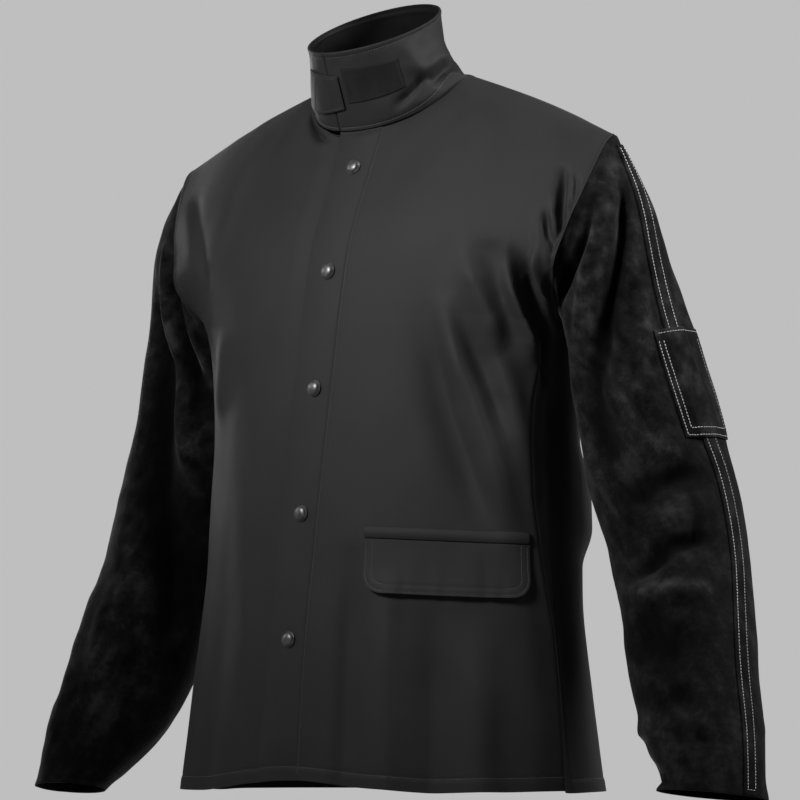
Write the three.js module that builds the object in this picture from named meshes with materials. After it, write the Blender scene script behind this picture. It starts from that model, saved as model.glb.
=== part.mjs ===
// A welding jacket: a sateen body with a stand collar and sleeves of split leather.
// Millimetres. +X is the wearer's left, -Y the front and +Z up.
// The origin is the middle of the neck hole, level with the collar seam.
import * as THREE from 'three';

// Walls and gaps
const CLOTH = 1.3;
const LEATHER = 1.8;
const TWO_PLY = 2.4;
const COLLAR_WALL = 2.8;
const STRIP_WALL = 1.4;
const REST_GAP = 0.4;
const SEAM_U = 0.0018;
const SEAM_V = 0.003;
const SEAM_T = 0.006;
const SEAM_PHI = 0.35;

// Halves of the body, as the sign of their Y
const FRONT = -1;
const BACK = 1;

// Body: a level section for each row, half as wide and as deep as the row says
const HEM_Z = -695;
const UNDERARM_Z = -238;
const BODY = [
  { z: -695, wide: 233, front: 169, back: 168 },
  { z: -600, wide: 221, front: 159, back: 152 },
  { z: -518, wide: 211, front: 151, back: 146 },
  { z: -418, wide: 207, front: 143, back: 152 },
  { z: -318, wide: 206, front: 134, back: 150 },
  { z: -238, wide: 216, front: 124, back: 138 },
];
const HEM_LIFT = 12;
const HEM_LIFT_REACH = 0.25;

// Chest and shoulders: the centre lines, the neckline and the shoulder line
const CENTRE_FRONT = [
  { z: -238, y: -124 },
  { z: -176, y: -115 },
  { z: -77, y: -76 },
  { z: -40, y: -62 },
];
const CENTRE_BACK = [
  { z: -238, y: 138 },
  { z: -150, y: 135 },
  { z: -60, y: 110 },
  { z: 5, y: 62 },
];
const NECK = { half: 90, middle: 10, front: 72, back: 52, frontZ: -40, sideZ: 15, backZ: 5, dip: 1.1 };
const NECK_SHARE = 0.36;
const SHOULDER_TIP = new THREE.Vector3(273, 8, -58);
const SHOULDER_BOW = 4;
const TOP_SOFTNESS = 0.25;
const SETTLE = { slope: 0.016, low: -420, high: -60 };
const ARM_PULL = 2.5;

// Armhole, from the shoulder tip down to the underarm
const ARMHOLE = [
  { z: -58, x: 273, front: 8, back: 8 },
  { z: -66, x: 271.5, front: -4, back: 19 },
  { z: -86, x: 268, front: -16, back: 31 },
  { z: -114, x: 262, front: -30, back: 44 },
  { z: -150, x: 252, front: -44, back: 53 },
  { z: -192, x: 240, front: -49, back: 52 },
  { z: -238, x: 216, front: 5, back: 5 },
];

// Left sleeve: a ring for each row below the armhole, an oval of two half widths.
// Lean tips it outwards, spin turns its long side to the back, turn moves the seam line to the front
// and dip lowers its back.
const RINGS = [
  { x: 260.5, y: 16, z: -199, lean: 55, out: 71, deep: 53, spin: 0, turn: 2, dip: 0 },
  { x: 274, y: 33, z: -262, lean: 25, out: 64, deep: 58, spin: 0, turn: 11, dip: 0 },
  { x: 294, y: 46, z: -350, lean: 8, out: 67, deep: 66, spin: 0, turn: 6, dip: 0 },
  { x: 309, y: 48, z: -414, lean: 5, out: 70, deep: 70, spin: 10, turn: 12, dip: 0 },
  { x: 327, y: 42, z: -470, lean: 4, out: 67.5, deep: 67.5, spin: 20, turn: 20, dip: 0 },
  { x: 345, y: 28, z: -520, lean: 4, out: 65, deep: 65, spin: 30, turn: 30, dip: 0 },
  { x: 362, y: 16, z: -580, lean: 3, out: 63, deep: 67, spin: 39, turn: 39, dip: 0 },
  { x: 385, y: 1, z: -640, lean: 2, out: 58, deep: 60, spin: 39, turn: 39, dip: 0.05 },
  { x: 412, y: -23, z: -696, lean: 0, out: 54, deep: 36, spin: 39, turn: 42, dip: 0.14 },
];
const CUFF = RINGS.length;

// Columns of a sleeve half, in degrees from its outer line to its inner line
const STRIP_HALF = 9;
const PATCH_HALF = 27;
const SLEEVE_COLUMNS = [0, STRIP_HALF, PATCH_HALF, 50, 76, 102, 128, 154, 180];
const STRIP_TOP = 0.12;
const PATCH_TOP = 2.14;
const PATCH_FOOT = 3.13;

// Placket: its middle line and half width, in millimetres from the body's middle plane
const PLACKET = [
  { v: -1, middle: -11, half: 26 },
  { v: -0.68, middle: -9, half: 23.5 },
  { v: -0.135, middle: 4.6, half: 23.4 },
  { v: 0, middle: 7.5, half: 23.6 },
  { v: 0.45, middle: 10, half: 25.5 },
  { v: 1, middle: 8.5, half: 27 },
];
const PLACKET_PROUD = 0.6;
const UNDERLAP_DIP = 2.3;
const UNDERLAP_EASE = 45;
const UNDERLAP_END = 20;

// Snaps down the placket
const SNAP_Z = [-79, -183, -299, -422, -546];
const SNAP_BESIDE = 5;
const SNAP_SIDES = 12;
const SNAP_PROFILE = [
  { radius: 0, height: 0 },
  { radius: 8.2, height: 0 },
  { radius: 8.2, height: 1.1 },
  { radius: 7.4, height: 2.7 },
  { radius: 5.2, height: 4.1 },
  { radius: 2.6, height: 4.7 },
  { radius: 0, height: 4.9 },
];

// Collar: a strip from the neckline to a level oval rim that is tipped forwards
const RIM = { half: 67, deep: 65, middle: -30, z: 66, tilt: 0.45 };
const COLLAR_RAISE = 0.8;
const COLLAR_START = -12;
const COLLAR_STEP = 15;
const COLLAR_ROWS = 5;
const COLLAR_FLARE = 0.72;
const COLLAR_GAP = 1.2;
const TAB = { from: -40, to: 0, foot: 0.26, top: 0.71, wall: 2.0 };
const LOOP_PATCH = { from: 3, to: 48, foot: 0.3, top: 0.78, wall: 1.2 };

// Flap pocket on the left front
const POCKET = { from: 0.235, to: 0.795, welt: 12, top: -435, drop: 8, flap: 53, corner: 20, stand: 4 };

// Folds of the body front and back: lines in u and v, half widths and heights in millimetres
const FRONT_FOLDS = [
  { u0: 0.46, v0: -0.02, u1: 0.68, v1: -0.34, half: 16, rise: 6 },
  { u0: 0.53, v0: -0.04, u1: 0.7, v1: -0.27, half: 14, rise: -5 },
  { u0: 0.61, v0: 0.15, u1: 0.69, v1: 0, half: 12, rise: -5 },
  { u0: 0.7, v0: 0.15, u1: 0.85, v1: -0.07, half: 13, rise: 6 },
  { u0: 0.74, v0: 0.19, u1: 0.9, v1: 0, half: 13, rise: -8 },
  { u0: 0.79, v0: 0.22, u1: 0.93, v1: 0.11, half: 12, rise: 4 },
  { u0: 0.89, v0: 0.54, u1: 0.97, v1: 0.28, half: 10, rise: -5 },
  { u0: -0.455, v0: 0, u1: -0.54, v1: -0.2, half: 18, rise: 4 },
  { u0: -0.25, v0: 0.88, u1: -0.13, v1: 0.75, half: 14, rise: -5 },
  { u0: 0.26, v0: -0.7, u1: 0.275, v1: -1.05, half: 20, rise: -4 },
  { u0: 0.4, v0: -0.7, u1: 0.44, v1: -1.05, half: 20, rise: 4 },
];
const BACK_FOLDS = [
  { u0: 0.55, v0: -0.28, u1: 0.6, v1: -0.5, half: 60, rise: 11 },
  { u0: -0.2, v0: -0.4, u1: -0.24, v1: -1.1, half: 45, rise: -6 },
  { u0: 0.2, v0: -0.4, u1: 0.24, v1: -1.1, half: 45, rise: -6 },
  { u0: 0.62, v0: 0.34, u1: 0.7, v1: -0.2, half: 26, rise: 5 },
  { u0: -0.62, v0: 0.34, u1: -0.7, v1: -0.2, half: 26, rise: 5 },
];
const BODY_SCALE = { u: 320, low: 457, high: 250 };
const FOLD_FADE = { side: 0.08, top: 0.12 };

// Folds of the sleeves: lines in degrees round the sleeve and steps down its rings
const LEFT_SLEEVE_FOLDS = [
  { phi0: 20, t0: 0.65, phi1: 86, t1: 2.25, half: 13, rise: -8 },
  { phi0: 38, t0: 0.3, phi1: 96, t1: 1.8, half: 15, rise: 5 },
  { phi0: 78, t0: 0.62, phi1: 130, t1: 0.85, half: 12, rise: -6 },
  { phi0: 14, t0: 3.57, phi1: 74, t1: 3.72, half: 12, rise: -5 },
  { phi0: 20, t0: 4.66, phi1: 90, t1: 5.19, half: 13, rise: -5 },
  { phi0: 54, t0: 5.64, phi1: 86, t1: 5.64, half: 16, rise: 4 },
  { phi0: 54, t0: 6.5, phi1: 102, t1: 6.45, half: 34, rise: -5 },
  { phi0: 72, t0: 7.8, phi1: 112, t1: 7.83, half: 14, rise: 4 },
];
const RIGHT_SLEEVE_FOLDS = [
  { phi0: 82, t0: 0.75, phi1: 96, t1: 2.4, half: 12, rise: 5 },
  { phi0: 96, t0: 2.4, phi1: 126, t1: 3.27, half: 12, rise: 5 },
  { phi0: 70, t0: 1, phi1: 76, t1: 2.4, half: 13, rise: -6 },
  { phi0: 76, t0: 2.4, phi1: 98, t1: 3.4, half: 14, rise: -5 },
  { phi0: 110, t0: 1.1, phi1: 122, t1: 1.7, half: 12, rise: -5 },
  { phi0: 30, t0: 3.7, phi1: 70, t1: 3.8, half: 13, rise: -4 },
  { phi0: 30, t0: 4.7, phi1: 90, t1: 5.1, half: 14, rise: -4 },
];
const SLEEVE_SCALE = { phi: 1.15, t: 70 };
const SLEEVE_FADE = { strip: 24, inner: 26, top: 0.5, cuff: 0.6 };

// Finishes
const FINISH = {
  sateen: { color: 0x2b2c2e, roughness: 0.72, metalness: 0 },
  suede: { color: 0x1a1a1a, roughness: 0.95, metalness: 0 },
  loop: { color: 0x1d1d1f, roughness: 1, metalness: 0 },
  snap: { color: 0x303234, roughness: 0.38, metalness: 0.7 },
};

const { degToRad, lerp, smoothstep, clamp } = THREE.MathUtils;

function vector(x, y, z) {
  return new THREE.Vector3(x, y, z);
}

function steps(from, to, count) {
  return Array.from({ length: count + 1 }, (_, index) => lerp(from, to, index / count));
}

function joined(...lists) {
  return lists.flatMap((list, index) => (index === 0 ? list : list.slice(1)));
}

function bell(distance) {
  return Math.exp(-distance * distance);
}

// A smooth curve through one column of a table
function reader(rows, by, column) {
  const places = rows.map((row) => row[by]);
  const values = rows.map((row) => row[column]);
  const spline = new THREE.CubicInterpolant(places, values, 1);
  return (place) => spline.evaluate(place)[0];
}

// Distance from a point to a line between two points of the plane
function lineDistance(x, y, x0, y0, x1, y1) {
  const along = ((x - x0) * (x1 - x0) + (y - y0) * (y1 - y0)) / ((x1 - x0) ** 2 + (y1 - y0) ** 2);
  const share = clamp(along, 0, 1);
  return Math.hypot(x - lerp(x0, x1, share), y - lerp(y0, y1, share));
}

// Outward direction of a surface of two parameters, kept inside their limits
function normalOf(surface, a, b, limits) {
  const alongA = surface(Math.min(a + limits.stepA, limits.maxA), b)
    .sub(surface(Math.max(a - limits.stepA, limits.minA), b));
  const alongB = surface(a, Math.min(b + limits.stepB, limits.maxB))
    .sub(surface(a, Math.max(b - limits.stepB, limits.minB)));
  return alongA.cross(alongB).normalize();
}

// Body surface: u runs from the right side seam to the left, v from the hem past the underarm at 0
const bodyWide = reader(BODY, 'z', 'wide');
const bodyDepth = { [FRONT]: reader(BODY, 'z', 'front'), [BACK]: reader(BODY, 'z', 'back') };
const centreLine = { [FRONT]: reader(CENTRE_FRONT, 'z', 'y'), [BACK]: reader(CENTRE_BACK, 'z', 'y') };
const centreTop = { [FRONT]: NECK.frontZ, [BACK]: NECK.backZ };
const neckPoint = vector(NECK.half, NECK.middle, NECK.sideZ);

function torsoPoint(half, u, z) {
  const turn = (u * Math.PI) / 2;
  return vector(bodyWide(z) * Math.sin(turn), half * bodyDepth[half](z) * Math.cos(turn), z);
}

function hemLevel(half, u) {
  return half === FRONT ? HEM_Z + HEM_LIFT * bell(u / HEM_LIFT_REACH) : HEM_Z;
}

// Neckline by its angle: 0 at the front, 90 at the wearer's left, 180 at the back
function neckline(angle) {
  const forward = Math.cos(degToRad(angle));
  const depth = forward > 0 ? NECK.front : NECK.back;
  const z = forward > 0
    ? lerp(NECK.frontZ, NECK.sideZ, (1 - forward) ** NECK.dip)
    : lerp(NECK.sideZ, NECK.backZ, forward * forward);
  return vector(NECK.half * Math.sin(degToRad(angle)), NECK.middle - depth * forward, z);
}

function topEdge(half, u) {
  const side = u < 0 ? -1 : 1;
  const reach = Math.abs(u);
  if (reach <= NECK_SHARE) {
    const quarter = (90 * reach) / NECK_SHARE;
    return neckline(side * (half === FRONT ? quarter : 180 - quarter));
  }
  const share = (reach - NECK_SHARE) / (1 - NECK_SHARE);
  const point = neckPoint.clone().lerp(SHOULDER_TIP, share);
  point.z += SHOULDER_BOW * Math.sin(Math.PI * share);
  point.x *= side;
  return point;
}

// The top edge, rounded off at the neck point the further the row lies below it
function softTop(half, u, v) {
  const reach = Math.min(TOP_SOFTNESS * (1 - v), 1 - Math.abs(u));
  const shares = steps(-1, 1, 4);
  const sum = vector(0, 0, 0);
  for (const share of shares) {
    sum.add(topEdge(half, u + share * reach));
  }
  return sum.divideScalar(shares.length);
}

const armholeCurve = new THREE.CatmullRomCurve3([
  ...ARMHOLE.map((row) => vector(row.x, row.front, row.z)),
  ...ARMHOLE.slice(1, -1).reverse().map((row) => vector(row.x, row.back, row.z)),
], true, 'catmullrom', 0.5);

// Armhole by its angle: 0 at the shoulder tip, 90 in front, 180 under the arm
function armholePoint(angle) {
  return armholeCurve.getPoint((angle / 360 + 1) % 1);
}

function armholeAngle(half, v) {
  return -half * 180 * (1 - v);
}

function upperPoint(half, u, v) {
  const turn = (v * Math.PI) / 2;
  const rise = vector(v, 1 - Math.cos(turn), Math.sin(turn));
  const spread = (place) => {
    const low = torsoPoint(half, place, UNDERARM_Z);
    return softTop(half, place, v).sub(low).multiply(rise).add(low);
  };
  const z = lerp(UNDERARM_Z, centreTop[half], Math.sin(turn));
  const centre = vector(0, centreLine[half](z), z).sub(spread(0));
  const arm = armholePoint(armholeAngle(half, v)).sub(spread(1));
  arm.x *= u < 0 ? -1 : 1;
  return spread(u)
    .addScaledVector(centre, Math.cos((u * Math.PI) / 2) ** 2)
    .addScaledVector(arm, Math.abs(u) ** ARM_PULL);
}

function bodyBase(half, u, v) {
  if (v > 0) {
    return upperPoint(half, u, v);
  }
  return torsoPoint(half, u, lerp(UNDERARM_Z, hemLevel(half, u), -v));
}

const BODY_LIMITS = { stepA: 0.01, minA: -1, maxA: 1, stepB: 0.02, minB: -1, maxB: 1 };

function bodyNormal(half, u, v) {
  return normalOf((a, b) => bodyBase(half, a, b), u, v, BODY_LIMITS).multiplyScalar(-half);
}

function bodyHeight(v) {
  return v > 0 ? v * BODY_SCALE.high : v * BODY_SCALE.low;
}

function bodyFold(half, u, v) {
  let height = 0;
  for (const fold of half === FRONT ? FRONT_FOLDS : BACK_FOLDS) {
    const distance = lineDistance(
      u * BODY_SCALE.u, bodyHeight(v),
      fold.u0 * BODY_SCALE.u, bodyHeight(fold.v0),
      fold.u1 * BODY_SCALE.u, bodyHeight(fold.v1),
    );
    height += fold.rise * bell(distance / fold.half);
  }
  const side = smoothstep(1 - Math.abs(u), 0, FOLD_FADE.side);
  const top = smoothstep(1 - v, 0, FOLD_FADE.top);
  return height * side * top;
}

// Left sleeve surface: phi runs round it from the outer line to the front, t down its rings
const sleeveLines = new Map();

function ringPoint(row, phi) {
  const around = degToRad(phi + row.turn);
  const spin = degToRad(row.spin);
  const lean = degToRad(row.lean);
  const long = row.out * Math.cos(around);
  const short = row.deep * Math.sin(around);
  const out = long * Math.cos(spin) + short * Math.sin(spin);
  const back = long * Math.sin(spin) - short * Math.cos(spin);
  return vector(
    row.x + out * Math.cos(lean),
    row.y + back,
    row.z + out * Math.sin(lean) - back * row.dip,
  );
}

function sleeveBase(phi, t) {
  if (!sleeveLines.has(phi)) {
    const points = [armholePoint(phi), ...RINGS.map((row) => ringPoint(row, phi))];
    sleeveLines.set(phi, new THREE.CatmullRomCurve3(points, false, 'catmullrom', 0.5));
  }
  return sleeveLines.get(phi).getPoint(t / CUFF);
}

const SLEEVE_LIMITS = { stepA: 2, minA: -540, maxA: 540, stepB: 0.04, minB: 0, maxB: CUFF };

function sleeveNormal(phi, t) {
  return normalOf(sleeveBase, phi, t, SLEEVE_LIMITS);
}

function sleeveFold(folds, phi, t) {
  let height = 0;
  for (const fold of folds) {
    const distance = lineDistance(
      phi * SLEEVE_SCALE.phi, t * SLEEVE_SCALE.t,
      fold.phi0 * SLEEVE_SCALE.phi, fold.t0 * SLEEVE_SCALE.t,
      fold.phi1 * SLEEVE_SCALE.phi, fold.t1 * SLEEVE_SCALE.t,
    );
    height += fold.rise * bell(distance / fold.half);
  }
  const strip = smoothstep(Math.abs(phi), STRIP_HALF, STRIP_HALF + SLEEVE_FADE.strip);
  const inner = smoothstep(180 - Math.abs(phi), 0, SLEEVE_FADE.inner);
  const top = smoothstep(t, 0, SLEEVE_FADE.top);
  const cuff = smoothstep(CUFF - t, 0, SLEEVE_FADE.cuff);
  return height * strip * inner * top * cuff;
}

// Where body and sleeve meet, both walls end on the plane midway between them
function mitred(own, other) {
  const share = smoothstep(own.dot(other), -0.2, 0.3);
  return own.addScaledVector(other, share).normalize();
}

function bodyWallNormal(half, u, v) {
  const own = bodyNormal(half, u, v);
  if (v <= 0 || Math.abs(u) < 1 - 2 * SEAM_U) {
    return own;
  }
  const other = sleeveNormal(armholeAngle(half, v), 0);
  other.x *= Math.sign(u);
  return mitred(own, other);
}

function sleeveWallNormal(phi, t) {
  const own = sleeveNormal(phi, t);
  if (t > 2 * SEAM_T) {
    return own;
  }
  const v = 1 - Math.abs(phi) / 180;
  return mitred(own, bodyNormal(phi > 0 ? FRONT : BACK, 1, v));
}

// Collar surface: angle round the neck, h from the neckline to the rim
function collarBase(angle, h) {
  const foot = neckline(angle);
  const turn = degToRad(angle);
  const rim = vector(RIM.half * Math.sin(turn), RIM.middle - RIM.deep * Math.cos(turn), 0);
  rim.z = RIM.z + RIM.tilt * (rim.y - RIM.middle);
  const share = h ** (1 - COLLAR_FLARE * Math.sin(turn) ** 2);
  return vector(lerp(foot.x, rim.x, share), lerp(foot.y, rim.y, share), lerp(foot.z + COLLAR_RAISE, rim.z, h));
}

const COLLAR_LIMITS = { stepA: 3, minA: -720, maxA: 720, stepB: 0.05, minB: 0, maxB: 1 };

function collarNormal(angle, h) {
  return normalOf(collarBase, angle, h, COLLAR_LIMITS);
}

// The jacket hangs a little higher on the wearer's left shoulder
function settled(point) {
  point.z += SETTLE.slope * point.x * smoothstep(point.z, SETTLE.low, SETTLE.high);
  return point;
}

// Closed wall over a grid of columns and rows; skin gives a point, its normal, lift and thickness
function wall(columns, rows, skin) {
  const corners = [];
  for (const row of rows) {
    for (const column of columns) {
      const { point, normal, lift, thick } = skin(column, row);
      corners.push(settled(point.clone().addScaledVector(normal, lift)));
      corners.push(settled(point.clone().addScaledVector(normal, lift - thick)));
    }
  }
  const lastRow = rows.length - 1;
  const lastColumn = columns.length - 1;
  const outer = (i, j) => 2 * (i * columns.length + j);
  const inner = (i, j) => outer(i, j) + 1;
  const index = [];
  const quad = (a, b, c, d) => index.push(a, b, c, a, c, d);
  for (let i = 0; i < lastRow; i += 1) {
    for (let j = 0; j < lastColumn; j += 1) {
      quad(outer(i, j), outer(i, j + 1), outer(i + 1, j + 1), outer(i + 1, j));
      quad(inner(i, j), inner(i + 1, j), inner(i + 1, j + 1), inner(i, j + 1));
    }
    quad(outer(i, 0), outer(i + 1, 0), inner(i + 1, 0), inner(i, 0));
    quad(outer(i + 1, lastColumn), outer(i, lastColumn), inner(i, lastColumn), inner(i + 1, lastColumn));
  }
  for (let j = 0; j < lastColumn; j += 1) {
    quad(outer(0, j + 1), outer(0, j), inner(0, j), inner(0, j + 1));
    quad(outer(lastRow, j), outer(lastRow, j + 1), inner(lastRow, j + 1), inner(lastRow, j));
  }
  return solid(corners, index);
}

function signedVolume(corners, index) {
  let sum = 0;
  for (let k = 0; k < index.length; k += 3) {
    const [a, b, c] = [corners[index[k]], corners[index[k + 1]], corners[index[k + 2]]];
    sum += a.dot(b.clone().cross(c)) / 6;
  }
  return sum;
}

function solid(corners, index) {
  const facing = signedVolume(corners, index) < 0 ? index.toReversed() : index;
  const geometry = new THREE.BufferGeometry();
  geometry.setFromPoints(corners);
  geometry.setIndex(facing);
  geometry.computeVertexNormals();
  return geometry;
}

const jacket = new THREE.Group();

function addPiece(name, geometry, finish) {
  const mesh = new THREE.Mesh(geometry, new THREE.MeshStandardMaterial(FINISH[finish]));
  mesh.name = name;
  jacket.add(mesh);
  return mesh;
}

// Body panels
const armRows = SLEEVE_COLUMNS.map((phi) => 1 - phi / 180).reverse();
const bodyRows = joined(steps(-1, 0, 14), [...armRows.slice(0, -1), 1 - SEAM_V]);
const sideEnd = 1 - SEAM_U;
const shoulderColumns = steps(NECK_SHARE, sideEnd, 5);
const mirrored = (list) => list.map((value) => -value).reverse();

function panelSkin(half, u, v, lift) {
  return {
    point: bodyBase(half, u, v),
    normal: bodyWallNormal(half, u, v),
    lift: lift + bodyFold(half, u, v),
    thick: CLOTH,
  };
}

const placketMiddle = reader(PLACKET, 'v', 'middle');
const placketHalf = reader(PLACKET, 'v', 'half');

// Millimetres along X for a unit of u beside the middle plane
function middleSpread(v) {
  const low = bodyWide(v > 0 ? UNDERARM_Z : lerp(UNDERARM_Z, HEM_Z, -v));
  const high = NECK.half / NECK_SHARE;
  return (Math.PI / 2) * (v > 0 ? lerp(low, high, v) : low);
}

function placketU(v, beside) {
  return (placketMiddle(v) + beside) / middleSpread(v);
}

function backPanel() {
  const neck = steps(-NECK_SHARE, NECK_SHARE, 12);
  const columns = joined(mirrored(shoulderColumns), neck, shoulderColumns);
  return wall(columns, bodyRows, (u, v) => panelSkin(BACK, u, v, 0));
}

function leftPanel() {
  const edge = (v) => placketU(v, placketHalf(v) + REST_GAP);
  const columns = [...steps(-4, 0, 4), ...steps(NECK_SHARE, sideEnd, 9).slice(1)];
  return wall(columns, bodyRows, (column, v) => {
    const u = column > 0 ? column : lerp(NECK_SHARE, edge(v), -column / 4);
    return panelSkin(FRONT, u, v, 0);
  });
}

// The right panel sinks under the placket and ends short of the left panel
function rightPanel() {
  const underlap = (v, u) => {
    const beside = placketMiddle(v) - u * middleSpread(v) - placketHalf(v);
    return -UNDERLAP_DIP * (1 - smoothstep(beside, 2, UNDERLAP_EASE));
  };
  const columns = joined(mirrored(shoulderColumns), steps(0, 5, 5), steps(5, 7, 2));
  return wall(columns, bodyRows, (column, v) => {
    const edge = placketU(v, -placketHalf(v) - 2);
    const end = placketU(v, UNDERLAP_END);
    const middle = column <= 5 ? lerp(-NECK_SHARE, edge, column / 5) : lerp(edge, end, (column - 5) / 2);
    const u = column < 0 ? column : middle;
    return panelSkin(FRONT, u, v, underlap(v, u));
  });
}

function placket() {
  return wall(steps(-1, 1, 3), bodyRows, (share, v) => {
    const u = placketU(v, share * placketHalf(v));
    return { ...panelSkin(FRONT, u, v, PLACKET_PROUD), thick: TWO_PLY };
  });
}

addPiece('back_panel', backPanel(), 'sateen');
addPiece('front_panel_left', leftPanel(), 'sateen');
addPiece('front_panel_right', rightPanel(), 'sateen');
addPiece('front_placket', placket(), 'sateen');

// Snaps
function bodyRow(half, u, z) {
  return -(UNDERARM_Z - z) / (UNDERARM_Z - hemLevel(half, u));
}

// The row of the front at the placket's middle that lies at the given height
function placketRow(z) {
  if (z < UNDERARM_Z) {
    return bodyRow(FRONT, placketU(bodyRow(FRONT, 0, z), 0), z);
  }
  const share = (z - UNDERARM_Z) / (NECK.frontZ - UNDERARM_Z);
  return (2 / Math.PI) * Math.asin(share);
}

function snapGeometry() {
  const profile = SNAP_PROFILE.map((row) => new THREE.Vector2(row.radius, row.height));
  return new THREE.LatheGeometry(profile, SNAP_SIDES);
}

SNAP_Z.forEach((z, index) => {
  const v = placketRow(z);
  const u = placketU(v, SNAP_BESIDE);
  const normal = bodyNormal(FRONT, u, v);
  const snap = addPiece(`snap_${index + 1}`, snapGeometry(), 'snap');
  snap.quaternion.setFromUnitVectors(vector(0, 1, 0), normal);
  snap.position.copy(bodyBase(FRONT, u, v));
  snap.position.addScaledVector(normal, PLACKET_PROUD + REST_GAP + bodyFold(FRONT, u, v));
  settled(snap.position);
});

// Collar with its tab and loop patch
function collarPiece(columns, rows, lift, thick) {
  return wall(columns, rows, (angle, h) => ({
    point: collarBase(angle, h),
    normal: collarNormal(angle, h),
    lift,
    thick,
  }));
}

function collarPatch({ from, to, foot, top, wall: thick }) {
  const count = Math.round((to - from) / 5);
  return collarPiece(steps(from, to, count), steps(foot, top, 3), REST_GAP + thick, thick);
}

const collarColumns = joined(
  [COLLAR_START, 0],
  steps(0, 330, 330 / COLLAR_STEP),
  [330, 360 + COLLAR_START - COLLAR_GAP],
);
addPiece('collar_stand', collarPiece(collarColumns, steps(0, 1, COLLAR_ROWS), 0, COLLAR_WALL), 'sateen');
addPiece('collar_tab', collarPatch(TAB), 'sateen');
addPiece('collar_loop_patch', collarPatch(LOOP_PATCH), 'loop');

// Flap pocket
function pocketPoint(across, z) {
  const u = lerp(POCKET.from, POCKET.to, across);
  const v = bodyRow(FRONT, u, z);
  return { point: bodyBase(FRONT, u, v), normal: bodyNormal(FRONT, u, v), fold: bodyFold(FRONT, u, v) };
}

function pocketTop(across) {
  return POCKET.top - POCKET.drop * across;
}

function pocketWelt() {
  return wall(steps(0, 1, 10), steps(0, 1, 1), (across, down) => {
    const { point, normal, fold } = pocketPoint(across, pocketTop(across) - down * POCKET.welt);
    return { point, normal, lift: fold + REST_GAP + TWO_PLY, thick: TWO_PLY };
  });
}

// The flap hangs from the welt, rounded at its lower corners and standing off at its lower edge
function pocketFlap() {
  const width = pocketPoint(0, POCKET.top).point.distanceTo(pocketPoint(1, POCKET.top).point);
  const corner = POCKET.corner / width;
  const arc = steps(0, 90, 3).map((angle) => corner * (1 - Math.cos(degToRad(angle))));
  const columns = joined(arc, steps(corner, 1 - corner, 6), arc.map((share) => 1 - share).reverse());
  return wall(columns, steps(0, 1, 4), (across, down) => {
    const inset = Math.max(0, 1 - Math.min(across, 1 - across) / corner);
    const depth = POCKET.flap - POCKET.corner * (1 - Math.sqrt(1 - inset * inset));
    const top = pocketTop(across) - POCKET.welt - REST_GAP;
    const { point, normal, fold } = pocketPoint(across, top - down * depth);
    const stand = POCKET.stand * ((down * depth) / POCKET.flap) ** 2;
    return { point, normal, lift: fold + REST_GAP + TWO_PLY + stand, thick: TWO_PLY };
  });
}

addPiece('pocket_welt', pocketWelt(), 'sateen');
addPiece('pocket_flap', pocketFlap(), 'sateen');

// Sleeves
const sleeveRows = joined(
  [SEAM_T, STRIP_TOP],
  steps(STRIP_TOP, PATCH_TOP, 6),
  steps(PATCH_TOP, PATCH_FOOT, 3),
  steps(PATCH_FOOT, CUFF, 14),
);

function sleevePiece(side, columns, rows, lift, thick) {
  const folds = side > 0 ? LEFT_SLEEVE_FOLDS : RIGHT_SLEEVE_FOLDS;
  const mirror = vector(side, 1, 1);
  return wall(columns, rows, (phi, t) => ({
    point: sleeveBase(phi, t).multiply(mirror),
    normal: sleeveWallNormal(phi, t).multiply(mirror),
    lift: lift(phi) + sleeveFold(folds, phi, t),
    thick,
  }));
}

const halfColumns = SLEEVE_COLUMNS.map((phi) => clamp(phi, SEAM_PHI, 180 - SEAM_PHI));
const stripColumns = [-STRIP_HALF, 0, STRIP_HALF];
const stripRows = sleeveRows.slice(1);
const flat = (height) => () => height;

for (const [side, name] of [[1, 'left'], [-1, 'right']]) {
  addPiece(`sleeve_${name}_front`, sleevePiece(side, halfColumns, sleeveRows, flat(0), LEATHER), 'suede');
  addPiece(`sleeve_${name}_back`, sleevePiece(side, mirrored(halfColumns), sleeveRows, flat(0), LEATHER), 'suede');
  const strip = sleevePiece(side, stripColumns, stripRows, flat(REST_GAP + STRIP_WALL), STRIP_WALL);
  addPiece(`sleeve_${name}_seam_strip`, strip, 'suede');
}

// Pen pocket on the left upper arm, laid over the seam strip
function penPocket() {
  const columns = [-PATCH_HALF, -STRIP_HALF - 5, -STRIP_HALF - 1, 0, STRIP_HALF + 1, STRIP_HALF + 5, PATCH_HALF];
  const over = REST_GAP + STRIP_WALL;
  const lift = (phi) => {
    const rise = over * (1 - smoothstep(Math.abs(phi), STRIP_HALF + 1, STRIP_HALF + 5));
    return REST_GAP + LEATHER + rise;
  };
  return sleevePiece(1, columns, steps(PATCH_TOP, PATCH_FOOT, 3), lift, LEATHER);
}

addPiece('sleeve_pocket', penPocket(), 'suede');

export default jacket;
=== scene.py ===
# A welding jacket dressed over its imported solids: sateen body and stand collar, split-leather sleeves.
# The tables are in millimetres and the meshes in metres. +X is the wearer's left, -Y the front, +Z up.
import math

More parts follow.
